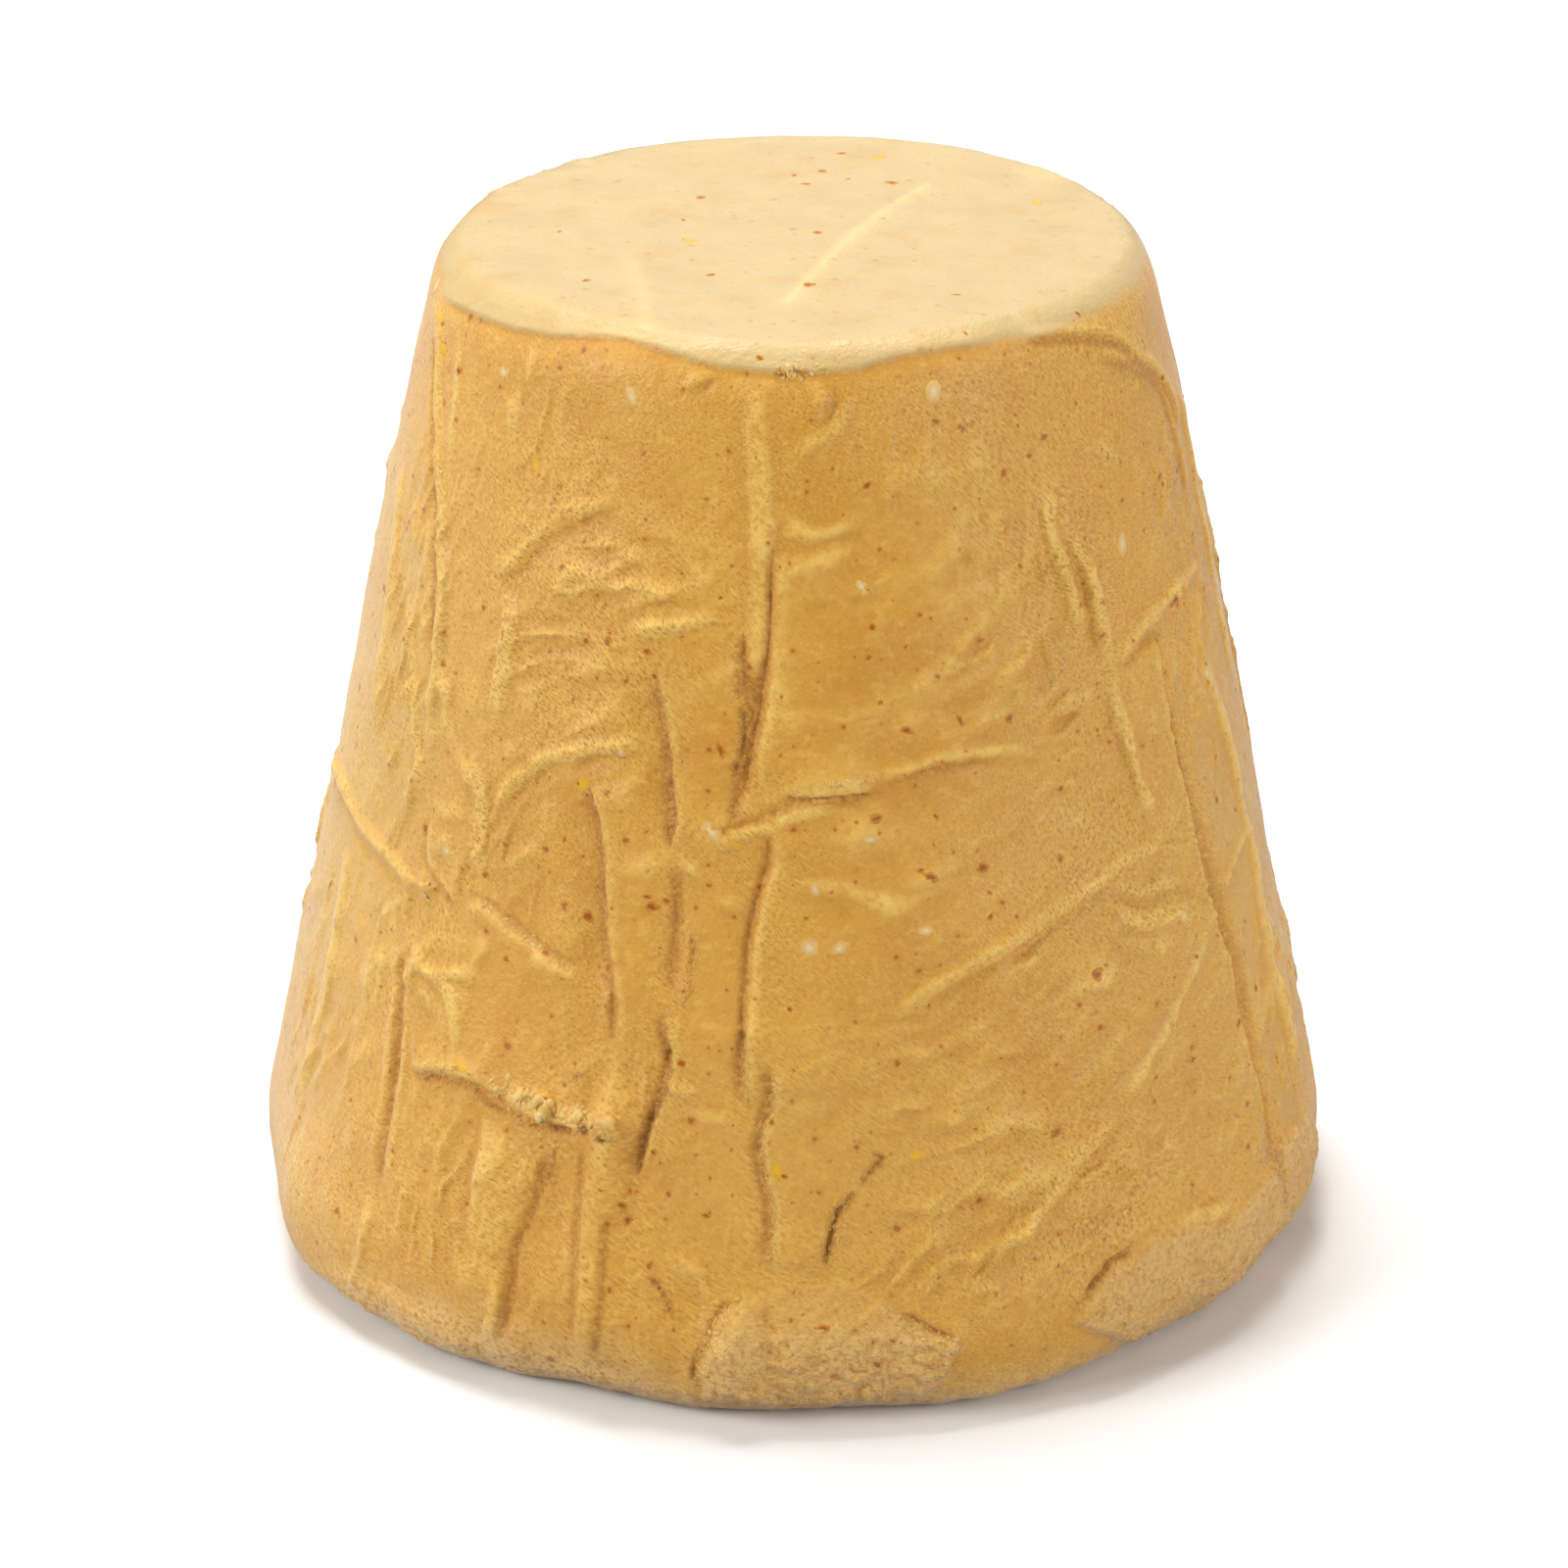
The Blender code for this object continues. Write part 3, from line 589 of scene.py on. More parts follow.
# Right: the doubled ridge with its thread notches, and the creases that branch off it
press({
    "double_left": ((welt, 1.05, 0.52, 0.9, 0.25, 2.5), (1068, 495, 1067, 520, 1068, 545, 1078, 570,
        1088, 590, 1095, 620, 1103, 650)),
    "double_right": ((welt, 1.10, 0.58, 1.0, 0.25, 2.5), (1085, 540, 1099, 560, 1110, 590, 1117, 620,
        1123, 645, 1128, 668, 1123, 688)),
    "double_valley": ((furrow, 0.4, 0.15, 0.4), (1076, 540, 1088, 565, 1100, 600, 1108, 640, 1115, 668)),
    "double_below": ((welt, 1.0, 0.52, 0.7, 0.30, 3), (1122, 686, 1131, 705, 1139, 730, 1146, 754, 1150, 774,
        1158, 799, 1168, 822, 1178, 845)),
    "double_below_shade": ((swell, 1.6, -0.28), (1112, 706, 1124, 735, 1132, 765, 1143, 798)),
    "right_branch": ((welt, 0.85, 0.46, 0.0, 0.20, 1.5), (1130, 674, 1150, 655, 1170, 630, 1190, 606,
        1210, 585, 1221, 572)),
    "right_branch_shade": ((furrow, 0.5, 0.35, 0.4), (1134, 683, 1156, 664, 1178, 640)),
    "left_branch": ((welt, 0.95, 0.55, 0.6, 0.20, 1.2), (1070, 732, 1090, 716, 1115, 702)),
    "left_branch_shade": ((furrow, 0.5, 0.38, 0.35), (1065, 748, 1078, 735, 1095, 729, 1108, 723)),
    "printed_band": ((swell, 3.0, 0.40), (960, 712, 1000, 695, 1030, 680, 1070, 655)),
    "long_diagonal": ((welt, 0.95, 0.45, 0.2), (1182, 843, 1172, 862, 1150, 874, 1125, 893, 1100, 915,
        1060, 940, 1020, 968, 975, 993, 930, 1022, 900, 1042)),
    "long_diagonal_shade": ((swell, 1.5, -0.25), (1150, 889, 1104, 926, 1064, 951, 1024, 980, 978, 1005,
        934, 1034)),
    "lower_diagonal": ((welt, 0.9, 0.48, 0.3), (1020, 1278, 1038, 1263, 1055, 1238, 1075, 1215, 1095, 1185,
        1120, 1160, 1140, 1135)),
    "upper_diagonal": ((welt, 0.6, 0.32), (1140, 1135, 1155, 1105, 1172, 1075, 1190, 1040, 1208, 1003,
        1218, 975, 1230, 940)),
    "wrinkle_line": ((furrow, 0.5, 0.32, 0.3), (1130, 905, 1150, 920, 1165, 922, 1185, 912, 1200, 905,
        1225, 915)),
    "wrinkle_above": ((welt, 0.8, 0.28, 0.6), (1132, 893, 1152, 907, 1168, 909, 1188, 899, 1205, 893)),
    "wrinkle_below": ((welt, 0.9, 0.28, 0.6), (1132, 922, 1152, 936, 1170, 936, 1192, 926, 1222, 930)),
    "cross_thread": ((welt, 0.5, 0.35), (1237, 910, 1250, 900, 1257, 880, 1262, 860, 1275, 835)),
})
deep_groove = on_cheese((
    1176, 640, 1179, 690, 1187, 720, 1194, 760, 1203, 800, 1212, 840, 1220, 870, 1228, 900, 1240, 940,
    1248, 970, 1257, 1010, 1263, 1050, 1280, 1110, 1290, 1150, 1300, 1200, 1298, 1250))
pleat(deep_groove, -1.3, reach=5, dirt_shade=1.0)
deep_groove_floor = beside(deep_groove[2:], 1.3)
furrow(deep_groove_floor, 1.3, 0.45, dirt_shade=0.45)
swell(deep_groove_floor, 3.6, -0.35)
split(deep_groove, 0.42, 0.40)
split(beside(deep_groove[3:], 0.9), 0.45, 0.40)
press({
    "deep_groove_band": ((sunken, 1.6, 0.45, 0.38, 0.50, 0.4), (1176, 640, 1187, 720, 1203, 800, 1220, 870,
        1240, 940, 1257, 1000, 1275, 1080, 1280, 1160, 1292, 1224, 1296, 1256, 1308, 1224, 1293, 1152,
        1285, 1080, 1275, 1000, 1257, 930, 1238, 860, 1218, 800, 1200, 730, 1184, 650)),
})
soft_folds(((1130, 1020, 1150, 1030, 1175, 1030), (1225, 1072, 1240, 1092, 1252, 1105),
    (1212, 1128, 1240, 1118, 1262, 1108), (1222, 1218, 1232, 1190, 1240, 1168, 1250, 1140), (965, 1292,
    990, 1285, 1010, 1270, 1030, 1255), (1290, 1035, 1285, 1060, 1280, 1085), (1150, 1190, 1175, 1170,
    1205, 1158), (1100, 1250, 1130, 1228, 1165, 1215), (1080, 1010, 1110, 1003, 1145, 1005), (985, 1085,
    1020, 1072, 1060, 1068)), 1.3, 0.30, 1.2, 1.5, -0.18)
press({
    "fold_over_rim": ((pleat, 0.50, 2.5, 0.6), (1040, 344, 1080, 341, 1110, 340, 1130, 343, 1145, 350,
        1158, 364, 1175, 374, 1185, 387, 1195, 412, 1200, 440)),
    "second_over_rim": ((pleat, 0.35, 2.0, 0.5), (1120, 362, 1150, 368, 1168, 376, 1183, 392, 1193, 425,
        1204, 470, 1212, 510)),
    "right_flake": ((welt, 0.7, 0.35, 0.0, 0.20, 0.6), (1120, 455, 1130, 464, 1141, 471)),
    "corner_seam": ((split, 0.5, 0.45), (1160, 1272, 1135, 1285, 1122, 1305, 1105, 1325, 1090, 1343)),
    "corner_edge": ((welt, 0.8, 0.35), (1195, 1247, 1230, 1236, 1260, 1229)),
    "knob_notch": ((furrow, 0.9, 0.40, 0.25), (780, 1322, 783, 1365, 781, 1415)),
    "knob_crack": ((split, 0.42, 0.35), (915, 1340, 945, 1352, 970, 1364, 985, 1368, 972, 1388, 950, 1415)),
    "left_of_knob": ((split, 0.38, 0.22), (752, 1325, 735, 1335, 722, 1352, 714, 1374, 709, 1396,
        711, 1412)),
})

# Back: folds of the same kinds and sizes as those in front
for route, rise, reach in (
        (((97, 80), (99, 70), (97, 60), (95, 48), (98, 38), (101, 26), (99, 14), (98, 4)), 0.60, 7),
        (((131, 86), (128, 74), (130, 62), (134, 50), (132, 40), (129, 28), (133, 14)), 0.60, 8),
        (((187, 64), (189, 54), (186, 44), (182, 32), (186, 20), (190, 8)), -0.55, 7),
        (((232, 82), (235, 70), (233, 58), (228, 46), (231, 32), (235, 18), (233, 8)), 0.60, 6)):
    pleat(route, rise, reach=reach, wobble=0.30, ends=7)
    split(route[2:5], 0.42, 0.35, ends=3)
for route in (((112, 72), (115, 60), (114, 50), (111, 38), (114, 26), (117, 15)),
              ((163, 87), (165, 76), (164, 66), (161, 54), (165, 44), (169, 34), (166, 22), (165, 14)),
              ((208, 83), (205, 72), (207, 62), (211, 48), (209, 36), (207, 22)),
              ((252, 52), (248, 38), (250, 26), (254, 8))):
    furrow(route, 0.8, 0.42, dirt_shade=0.5, wobble=0.30, ends=7)
    split(route[1:4], 0.42, 0.35, ends=3)
    next_to(route, -2, swell, 3.6, -0.30, 0.3, 8)
for route, width, rise in ((((100, 58), (108, 54), (118, 56), (128, 61), (138, 60), (152, 66)), 0.9, 0.42),
                           (((134, 42), (146, 35), (156, 33), (165, 27), (180, 25)), 0.8, 0.40),
                           (((168, 86), (171, 76), (169, 66), (173, 56), (171, 42)), 1.0, 0.42),
                           (((146, 80), (160, 75), (170, 77), (181, 72), (195, 74)), 0.8, 0.34),
                           (((188, 52), (198, 46), (208, 46), (216, 51), (226, 60)), 0.9, 0.42),
                           (((212, 82), (209, 70), (213, 60), (214, 46)), 1.0, 0.40),
                           (((211, 34), (222, 27), (231, 25), (246, 31)), 0.8, 0.38),
                           (((234, 70), (244, 63), (252, 61), (262, 65), (270, 74)), 0.9, 0.42),
                           (((106, 34), (116, 30), (126, 22), (138, 18)), 0.7, 0.36),
                           (((192, 18), (202, 24), (212, 22), (224, 14)), 0.7, 0.34)):
    welt(route, width, rise, woven_on=0.5, wobble=0.35, ends=9)
    swell(beside(route, 0, -1.5), 1.7, -0.24, ends=9)
for route, width, rise in ((((-70, 39), (-68, 28), (-70, 14)), 1.5, 0.35),
                           (((-76, 72), (-70, 60), (-69, 50)), 1.5, 0.35),
                           (((70, 56), (74, 44), (73, 30), (76, 16)), 1.4, 0.45),
                           (((80, 78), (84, 66), (82, 50)), 1.3, 0.4)):
    welt(route, width, rise)
for angle, height, wide, high, rise in ((120, 4, 30, 14, 0.8), (176, 3, 34, 12, 0.7), (236, 4, 26, 15, 0.8)):
    knob = patch(angle, height, wide, high, edge=0.5, ragged=0.22)
    push += rise * knob
    cauliflower = np.maximum(cauliflower, 0.7 * knob)
    bloom = np.maximum(bloom, 0.8 * patch(angle, height - 2, wide + 3, high + 2, edge=0.6, ragged=0.22))

# Rim: the crisp crease along the front edge of the top
rim_crease = on_cheese((
    450, 296, 491, 323, 547, 341, 614, 342, 641, 346, 668, 354, 700, 363, 737, 375, 770, 378, 802, 380,
    824, 380, 874, 376, 897, 367, 927, 361, 985, 351, 1040, 343))
pleat(rim_crease, 0.32, reach=2.5, dirt_shade=0.0, ends=5, shade=0.3)
press({"rim_split": ((split, 0.5, 0.35), (786, 380, 800, 384, 816, 383, 832, 380))})

# Fine wrinkles between the folds, all round
for angle, height, wide, high, slope, pitch, rise in (
        (-24, 69, 32, 18, 6, 2.0, 0.24), (-34, 60, 22, 28, 24, 2.2, 0.20), (-62, 62, 18, 50, 84, 2.0, 0.30),
        (-68, 24, 24, 40, 72, 2.6, 0.30), (-42, 78, 26, 20, 80, 2.2, 0.18), (-38, 46, 16, 20, 70, 1.9, 0.24),
        (36, 70, 22, 32, 84, 2.0, 0.24), (30, 60, 28, 22, 24, 2.3, 0.28), (44, 51, 22, 18, 24, 1.8, 0.30),
        (50, 40, 28, 20, 10, 1.9, 0.32), (28, 20, 48, 22, 22, 2.4, 0.38), (18, 13, 34, 16, 40, 1.9, 0.28),
        (52, 18, 26, 26, 20, 1.8, 0.32), (66, 62, 20, 46, 80, 1.7, 0.30), (72, 24, 20, 40, 70, 2.0, 0.30),
        (-34, 14, 32, 28, 84, 2.6, 0.28), (12, 30, 34, 14, 14, 2.4, 0.20), (-10, 14, 18, 22, 86, 2.2, 0.26),
        (-20, 30, 18, 26, 84, 2.4, 0.20), (8, 70, 26, 32, 30, 3.4, 0.14), (8, 46, 28, 20, 8, 3.4, 0.14),
        (34, 36, 26, 16, 22, 2.2, 0.26), (-54, 36, 14, 30, 80, 1.8, 0.24), (24, 78, 30, 16, 80, 2.4, 0.16),
        (0, 60, 90, 60, 30, 5.5, 0.14), (40, 30, 60, 50, 26, 5.0, 0.26), (-45, 40, 50, 70, 70, 5.0, 0.24)):
    ripples(angle, height, wide, high, slope, pitch, rise)
for angle, height, slope in ((104, 66, 80), (122, 40, 12), (140, 68, 30), (156, 44, 84), (176, 60, 10),
                             (196, 32, 75), (214, 62, 82), (226, 38, 20), (246, 68, 80), (262, 34, 65),
                             (150, 16, 60), (205, 14, 80), (95, 20, 70), (120, 80, 84), (170, 80, 20),
                             (230, 82, 84), (110, 56, 20), (190, 70, 84), (240, 16, 70)):
    ripples(angle, height, 32, 30, slope, 2.2, 0.28)
    ripples(angle + 8, height, 40, 40, slope - 40, 5.0, 0.24)

# The cloth's print is strong where the curd was pressed hard, and missing where the cloth lay slack
woven += 0.78 + 0.35 * lumps(14.0, 71)
for angle, height, wide, high, strength in (
        (12, 63, 24, 40, 1.0), (11, 44, 18, 12, 0.8), (-10, 57, 6, 18, 0.9), (-19, 42, 5, 22, 0.9),
        (-9, 38, 7, 24, 0.9), (-9, 22, 8, 20, 0.7), (-35, 36, 12, 20, 0.8), (2, 24, 8, 16, 0.7),
        (-64, 30, 16, 50, 0.5), (72, 40, 14, 70, 0.6), (0, 88.5, 60, 6, 0.8), (150, 50, 26, 40, 0.9),
        (215, 66, 22, 34, 0.9), (110, 30, 18, 26, 0.9)):
    woven *= 1 - strength * patch(angle, height, wide, high, edge=0.6, ragged=0.06)
for angle, height, wide, high, strength in (
        (-33, 66, 22, 40, 0.4), (42, 64, 14, 30, 0.5), (40, 46, 14, 16, 0.5), (26, 16, 40, 22, 0.5),
        (-30, 14, 30, 18, 0.1), (3, 5, 24, 16, 0.5)):
    woven += strength * patch(angle, height, wide, high, edge=0.8, ragged=0.06)

# Painted light: the left flank is painted paler and yellower than the front, as the light falls on that
# side;
# softer patches round the sides and back get the same.
flank_light_mask = patch(-82, 45, 76, 120, edge=0.9)
for angle, height, wide, high, strength in (
        (120, 40, 60, 90, 0.6), (215, 50, 60, 90, 0.6), (62, 35, 50, 80, 0.35), (-2, 24, 40, 44, 0.25)):
    flank_light_mask = np.maximum(flank_light_mask, strength * patch(angle, height, wide, high, edge=0.9))

# The print is faint on the knotted foot; in front on the right and round the back the threads ran steeper
woven *= 1 - 0.7 * np.clip(cauliflower, 0, 1)
steep = np.maximum(patch(36, 30, 60, 90, edge=0.8), patch(180, 45, 120, 120, edge=0.5))


def on_face(route):
    """The route's places in the photograph as (x, y) in millimetres on the top face."""
    found = []
    for across, down in route:
        ray = sight(across, down)
        reach = (HEIGHT * MM - VIEW_PLACE[2]) / ray.z
        found.append(((VIEW_PLACE[0] + reach * ray.x) / MM, (VIEW_PLACE[1] + reach * ray.y) / MM))
    return found


# The pressed form: small dents all over, a rough foot, and a gently domed top with two scored lines
push += 0.06 * lumps(3.6, 61)
foot_edge = patch(0, -3, 700, 22, edge=0.8)
foot_edge = np.maximum(foot_edge, rounded((7 - levels_up) / 6) * (middle > SIDE_ONLY))
push += foot_edge * (0.30 * lumps(2.4, 29) + 0.16 * lumps(0.9, 43))
curly = 0.55 * np.abs(lumps(2.0, 83)) + 0.22 * lumps(0.8, 19)
push += 0.22 * crumble * lumps(0.75, 5) + cauliflower * curly
pressed = pressed_places()
face = places[on_top]
lift = 0.35 * np.array([noise.noise(Vector((place[0] + 70, place[1], 0)) / 22) for place in face])
lift += 0.07 * np.array([noise.noise(Vector((place[0] / 7, place[1] / 2.2, 3))) for place in face])
long_score = on_face(((805, 308), (850, 262), (880, 235), (915, 208), (945, 190)))
short_score = on_face(((640, 262), (655, 300), (660, 335)))
for scored, rise in ((long_score, 0.20), (short_score, 0.10)):
    gap = np.full(len(face), np.inf)
    for (x0, y0), (x1, y1) in zip(scored, scored[1:]):
        run = np.array((x1 - x0, y1 - y0))
        part = np.clip(((face[:, 0] - x0) * run[0] + (face[:, 1] - y0) * run[1]) / (run @ run), 0, 1)
        gap = np.minimum(gap, np.hypot(face[:, 0] - x0 - part * run[0], face[:, 1] - y0 - part * run[1]))
    lift += rise * np.exp(-(gap / 0.55) ** 2)
    # Painted highlight along each scored line on the top.
    painted_light[on_top] += 4 * rise * np.exp(-(gap / 0.65) ** 2)
pressed[on_top, 2] += lift
body.vertices.foreach_set("co", (pressed * MM).astype(np.float32).ravel())
front_edge = np.array(sorted(rim_crease))
top_edge = np.interp(angles, front_edge[:, 0], front_edge[:, 1], left=HEIGHT - 1.6, right=HEIGHT - 1.6)
flat_top = rounded((levels_up - top_edge + 0.15 * wander) / 0.7 + 0.5)
crumble = np.maximum(crumble, 0.85 * np.clip(cauliflower, 0, 1))
for name, values in (
        ("dirt_and_shade", dirt_and_shade), ("crumble", crumble), ("woven", np.clip(woven, 0, 1.2) * (1 - flat_top)),
        ("bloom", bloom), ("painted_light", np.clip(painted_light, -1, 1)), ("top", flat_top), ("steep", steep),
        ("flank", flank_light_mask)):
    body.attributes.new(name, 'FLOAT', 'POINT').data.foreach_set("value", values.astype(np.float32))

# Thinned where it is smooth, which leaves the triangles crowded along the folds
thick = shown(body, "cheese_fine")
thinner = thick.modifiers.new("thinner", 'DECIMATE')
thinner.ratio = BODY_TRIANGLES / (2 * len(body.polygons))
rind_mesh = settled(thick, "cheese_rind")
rind_mesh.shade_smooth()
cheese = shown(rind_mesh, "cheese_rind")

# The cloth's thread directions, as a map of the unrolled side in metres
count = len(rind_mesh.vertices)
final = np.empty(count * 3, np.float32)
rind_mesh.vertices.foreach_get("co", final)
final = final.reshape(-1, 3).astype(float)
corner = np.empty(len(rind_mesh.loops), np.int32)
rind_mesh.loops.foreach_get("vertex_index", corner)
round_angle = np.arctan2(final[:, 0], -final[:, 1])
climb = np.linspace(0, HEIGHT, 400)
slope_steps = np.hypot(np.diff(climb), np.diff(side_radius(climb)))
slope_way = np.concatenate(([0.0], np.cumsum(slope_steps)))
MEAN_RADIUS = 0.5 * (FOOT_RADIUS + TOP_RADIUS) * MM
SLIP_SIZE = 0.03
SLIP_REACH = 0.006
slip = np.array([(noise.noise(Vector(place) / SLIP_SIZE),
                  noise.noise(Vector(place) / SLIP_SIZE + Vector((9, 4, 1)))) for place in final])
cloth_u = round_angle[corner]
starts = np.empty(len(rind_mesh.polygons), np.int32)
totals = np.empty(len(rind_mesh.polygons), np.int32)
rind_mesh.polygons.foreach_get("loop_start", starts)
rind_mesh.polygons.foreach_get("loop_total", totals)
face_of = np.repeat(np.arange(len(starts)), totals)
highest = np.maximum.reduceat(cloth_u, starts)[face_of]
lowest = np.minimum.reduceat(cloth_u, starts)[face_of]
cloth_u = np.where((highest - lowest > math.pi) & (cloth_u < 0), cloth_u + 2 * math.pi, cloth_u)
cloth_v = np.interp(final[corner, 2] / MM, climb, slope_way) * MM
cloth_map = np.stack((cloth_u * MEAN_RADIUS, cloth_v), axis=1) + SLIP_REACH * slip[corner]
rind_mesh.uv_layers.new(name="cloth").uv.foreach_set("vector", cloth_map.astype(np.float32).ravel())


# Finish of the rind
# Moist, slightly shiny curd: ochre from the paprika, mottled, paler on the dry top and foot, browner in the
# creases, partly from dirt and partly as painted shade, with painted highlights on the folds' crests,
# painted shade in their valleys and painted light on the left flank; stippled by the cloth's threads, and
# flecked with paprika and white grains of curd.
CURD = (0.738, 0.368, 0.052, 1)
CURD_DEEP = (0.672, 0.310, 0.036, 1)
CURD_YELLOW = (0.765, 0.410, 0.038, 1)
# Paler curd in the mottle, and the painted highlight on the folds' crests.
CURD_LIGHT_AND_HIGHLIGHT = (0.925, 0.595, 0.132, 1)
# Darker curd in the mottle, and the painted shade in valleys and creases.
CURD_DARK_AND_SHADE = (0.560, 0.228, 0.022, 1)
# Dry pale curd of the foot, and the painted highlight along the top's scored lines.
DRY_CURD_AND_HIGHLIGHT = (0.905, 0.612, 0.255, 1)
CURD_TOP = (0.640, 0.462, 0.200, 1)
CURD_TOP_DEEP = (0.635, 0.405, 0.135, 1)
# Brown in the creases, partly dirt and partly painted shade.
CREASE_BROWN_AND_SHADE = (0.370, 0.138, 0.013, 1)
PRINT_BROWN = (0.460, 0.165, 0.012, 1)
PAPRIKA = (0.600, 0.190, 0.008, 1)
PAPRIKA_DARK = (0.380, 0.100, 0.006, 1)
OIL_YELLOW = (0.860, 0.470, 0.010, 1)
WHITE_GRAIN = (0.840, 0.630, 0.330, 1)
# Painted light on the left flank.
FLANK_LIGHT_COLOUR = (0.780, 0.530, 0.165, 1)
PER_MM = 1000.0


def feed(tree, node, inputs):
    """Gives a node's inputs their values, or links those that are other nodes' sockets."""
    for socket, value in inputs.items():
        if isinstance(value, bpy.types.NodeSocket):
            tree.links.new(value, node.inputs[socket])
        else:
            node.inputs[socket].default_value = value


def add(tree, kind, inputs=None, **settings):
    """The outputs of a new node of a kind, with its inputs fed and its properties set."""
    made = tree.nodes.new(kind)
    for name, value in settings.items():
        setattr(made, name, value)
    feed(tree, made, inputs or {})
    return made.outputs


def finish(name):
    """A new material, its node tree and its shader."""
    made = bpy.data.materials.new(name)
    made.use_nodes = True
    return made, made.node_tree, made.node_tree.nodes["Principled BSDF"]


def mapped(tree, value, limits, interpolation='LINEAR'):
    return add(tree, 'ShaderNodeMapRange', {"Value": value, **limits}, interpolation_type=interpolation)[0]


def combined(tree, operation, one, other, clamp=False):
    return add(tree, 'ShaderNodeMath', {0: one, 1: other}, operation=operation, use_clamp=clamp)[0]


def times(tree, one, other, clamp=False):
    return combined(tree, 'MULTIPLY', one, other, clamp)


def mixed(tree, amount, one, other):
    """The first colour, with an amount of the other mixed in."""
    return add(tree, 'ShaderNodeMix', {0: amount, 6: one, 7: other}, data_type='RGBA')[2]


def coated(tree, colour, *coats):
    """The colour under coats laid over it in turn, each with its mask, its colour and its strength."""
    for mask, coat, strength in coats:
        colour = mixed(tree, times(tree, mask, strength, clamp=True), colour, coat)
    return colour


def bumped(tree, height, strength, distance, **more):
    inputs = {"Height": height, "Strength": strength, "Distance": distance, **more}
    return add(tree, 'ShaderNodeBump', inputs)[0]


def effect(name, numbers, colours, gives, gives_kind):
    """A node group with a place, named numbers and colours going in and one socket coming out."""
    group = bpy.data.node_groups.new(name, 'ShaderNodeTree')
    group.interface.new_socket("Vector", in_out='INPUT', socket_type='NodeSocketVector')
    for number in numbers:
        group.interface.new_socket(number, in_out='INPUT', socket_type='NodeSocketFloat')
    for shade in colours:
        group.interface.new_socket(shade, in_out='INPUT', socket_type='NodeSocketColor')
    group.interface.new_socket(gives, in_out='OUTPUT', socket_type=gives_kind)
    return group, add(group, 'NodeGroupInput'), group.nodes.new('NodeGroupOutput')


# Clouds of colour and the grain of the curd, which every material of the cheese has at sizes of its own
NOISE_INPUTS = ("Vector", "Scale", "Detail", "Roughness")
clouds, taken, given = effect(
    "curd_clouds", NOISE_INPUTS[1:] + ("Low", "High"), (), "Mask", 'NodeSocketFloat')
soft = add(clouds, 'ShaderNodeTexNoise', {socket: taken[socket] for socket in NOISE_INPUTS})[0]
limits = {"From Min": taken["Low"], "From Max": taken["High"]}
feed(clouds, given, {"Mask": mapped(clouds, soft, limits, 'SMOOTHSTEP')})

grains, taken, given = effect("curd_grain", NOISE_INPUTS[1:], (), "Height", 'NodeSocketFloat')
fine = add(grains, 'ShaderNodeTexNoise', {socket: taken[socket] for socket in NOISE_INPUTS})[0]
feed(grains, given, {"Height": fine})


def cloudy(tree, vector, size, low, high, detail=3.0, rough=0.55):
    """A soft mask from a noise whose clouds are a size in millimetres across."""
    return add(tree, 'ShaderNodeGroup', node_tree=clouds, inputs={
        "Vector": vector, "Scale": PER_MM / size, "Detail": detail, "Roughness": rough,
        "Low": low, "High": high})[0]


def grainy(tree, vector, size, detail=2.0, rough=0.5):
    """The height of the curd's grain, with grains of a size in millimetres."""
    return add(tree, 'ShaderNodeGroup', node_tree=grains, inputs={
        "Vector": vector, "Scale": PER_MM / size, "Detail": detail, "Roughness": rough})[0]


def ragged_place(tree, vector, size, reach):
    """The place shifted about by up to a reach in millimetres, for ragged edges of what is drawn there."""
    cloud = add(tree, 'ShaderNodeTexNoise', {"Vector": vector, "Scale": PER_MM / size, "Detail": 2.0})
    step = cloud["Color"]
    for operation, inputs in (('SUBTRACT', {1: (0.5, 0.5, 0.5)}), ('SCALE', {"Scale": 2 * reach / PER_MM}),
                              ('ADD', {1: vector})):
        step = add(tree, 'ShaderNodeVectorMath', {0: step, **inputs}, operation=operation)[0]
    return step


def flecks(tree, vector, spacing, share, biggest):
    """Masks of the cores and the haloes of ragged specks, one to a cell in a share of the cells."""
    cells = add(tree, 'ShaderNodeTexVoronoi', {
        "Vector": vector, "Scale": PER_MM / spacing, "Randomness": 1.0})
    chance = add(tree, 'ShaderNodeSeparateColor', {0: cells["Color"]})[0]
    masks = []
    for part, soft in ((1.0, 0.35), (1.9, 1.2)):
        reach = mapped(tree, chance, {
            "From Min": 1 - share, "To Min": -0.02, "To Max": part * biggest / spacing})
        inside = combined(tree, 'SUBTRACT', reach, cells["Distance"])
        masks.append(combined(tree, 'DIVIDE', inside, soft * biggest / spacing, clamp=True))
    return masks


def attribute(tree, name):
    return add(tree, 'ShaderNodeAttribute', attribute_name=name)["Fac"]


def stretched(tree, vector, turn, scale):
    """The place turned about Z by degrees and then squeezed, so that what is drawn there is drawn out."""
    turned_by = add(tree, 'ShaderNodeVectorRotate', {"Vector": vector, "Angle": math.radians(turn)},
                    rotation_type='Z_AXIS')
    return add(tree, 'ShaderNodeMapping', {"Vector": turned_by[0], "Scale": scale})[0]


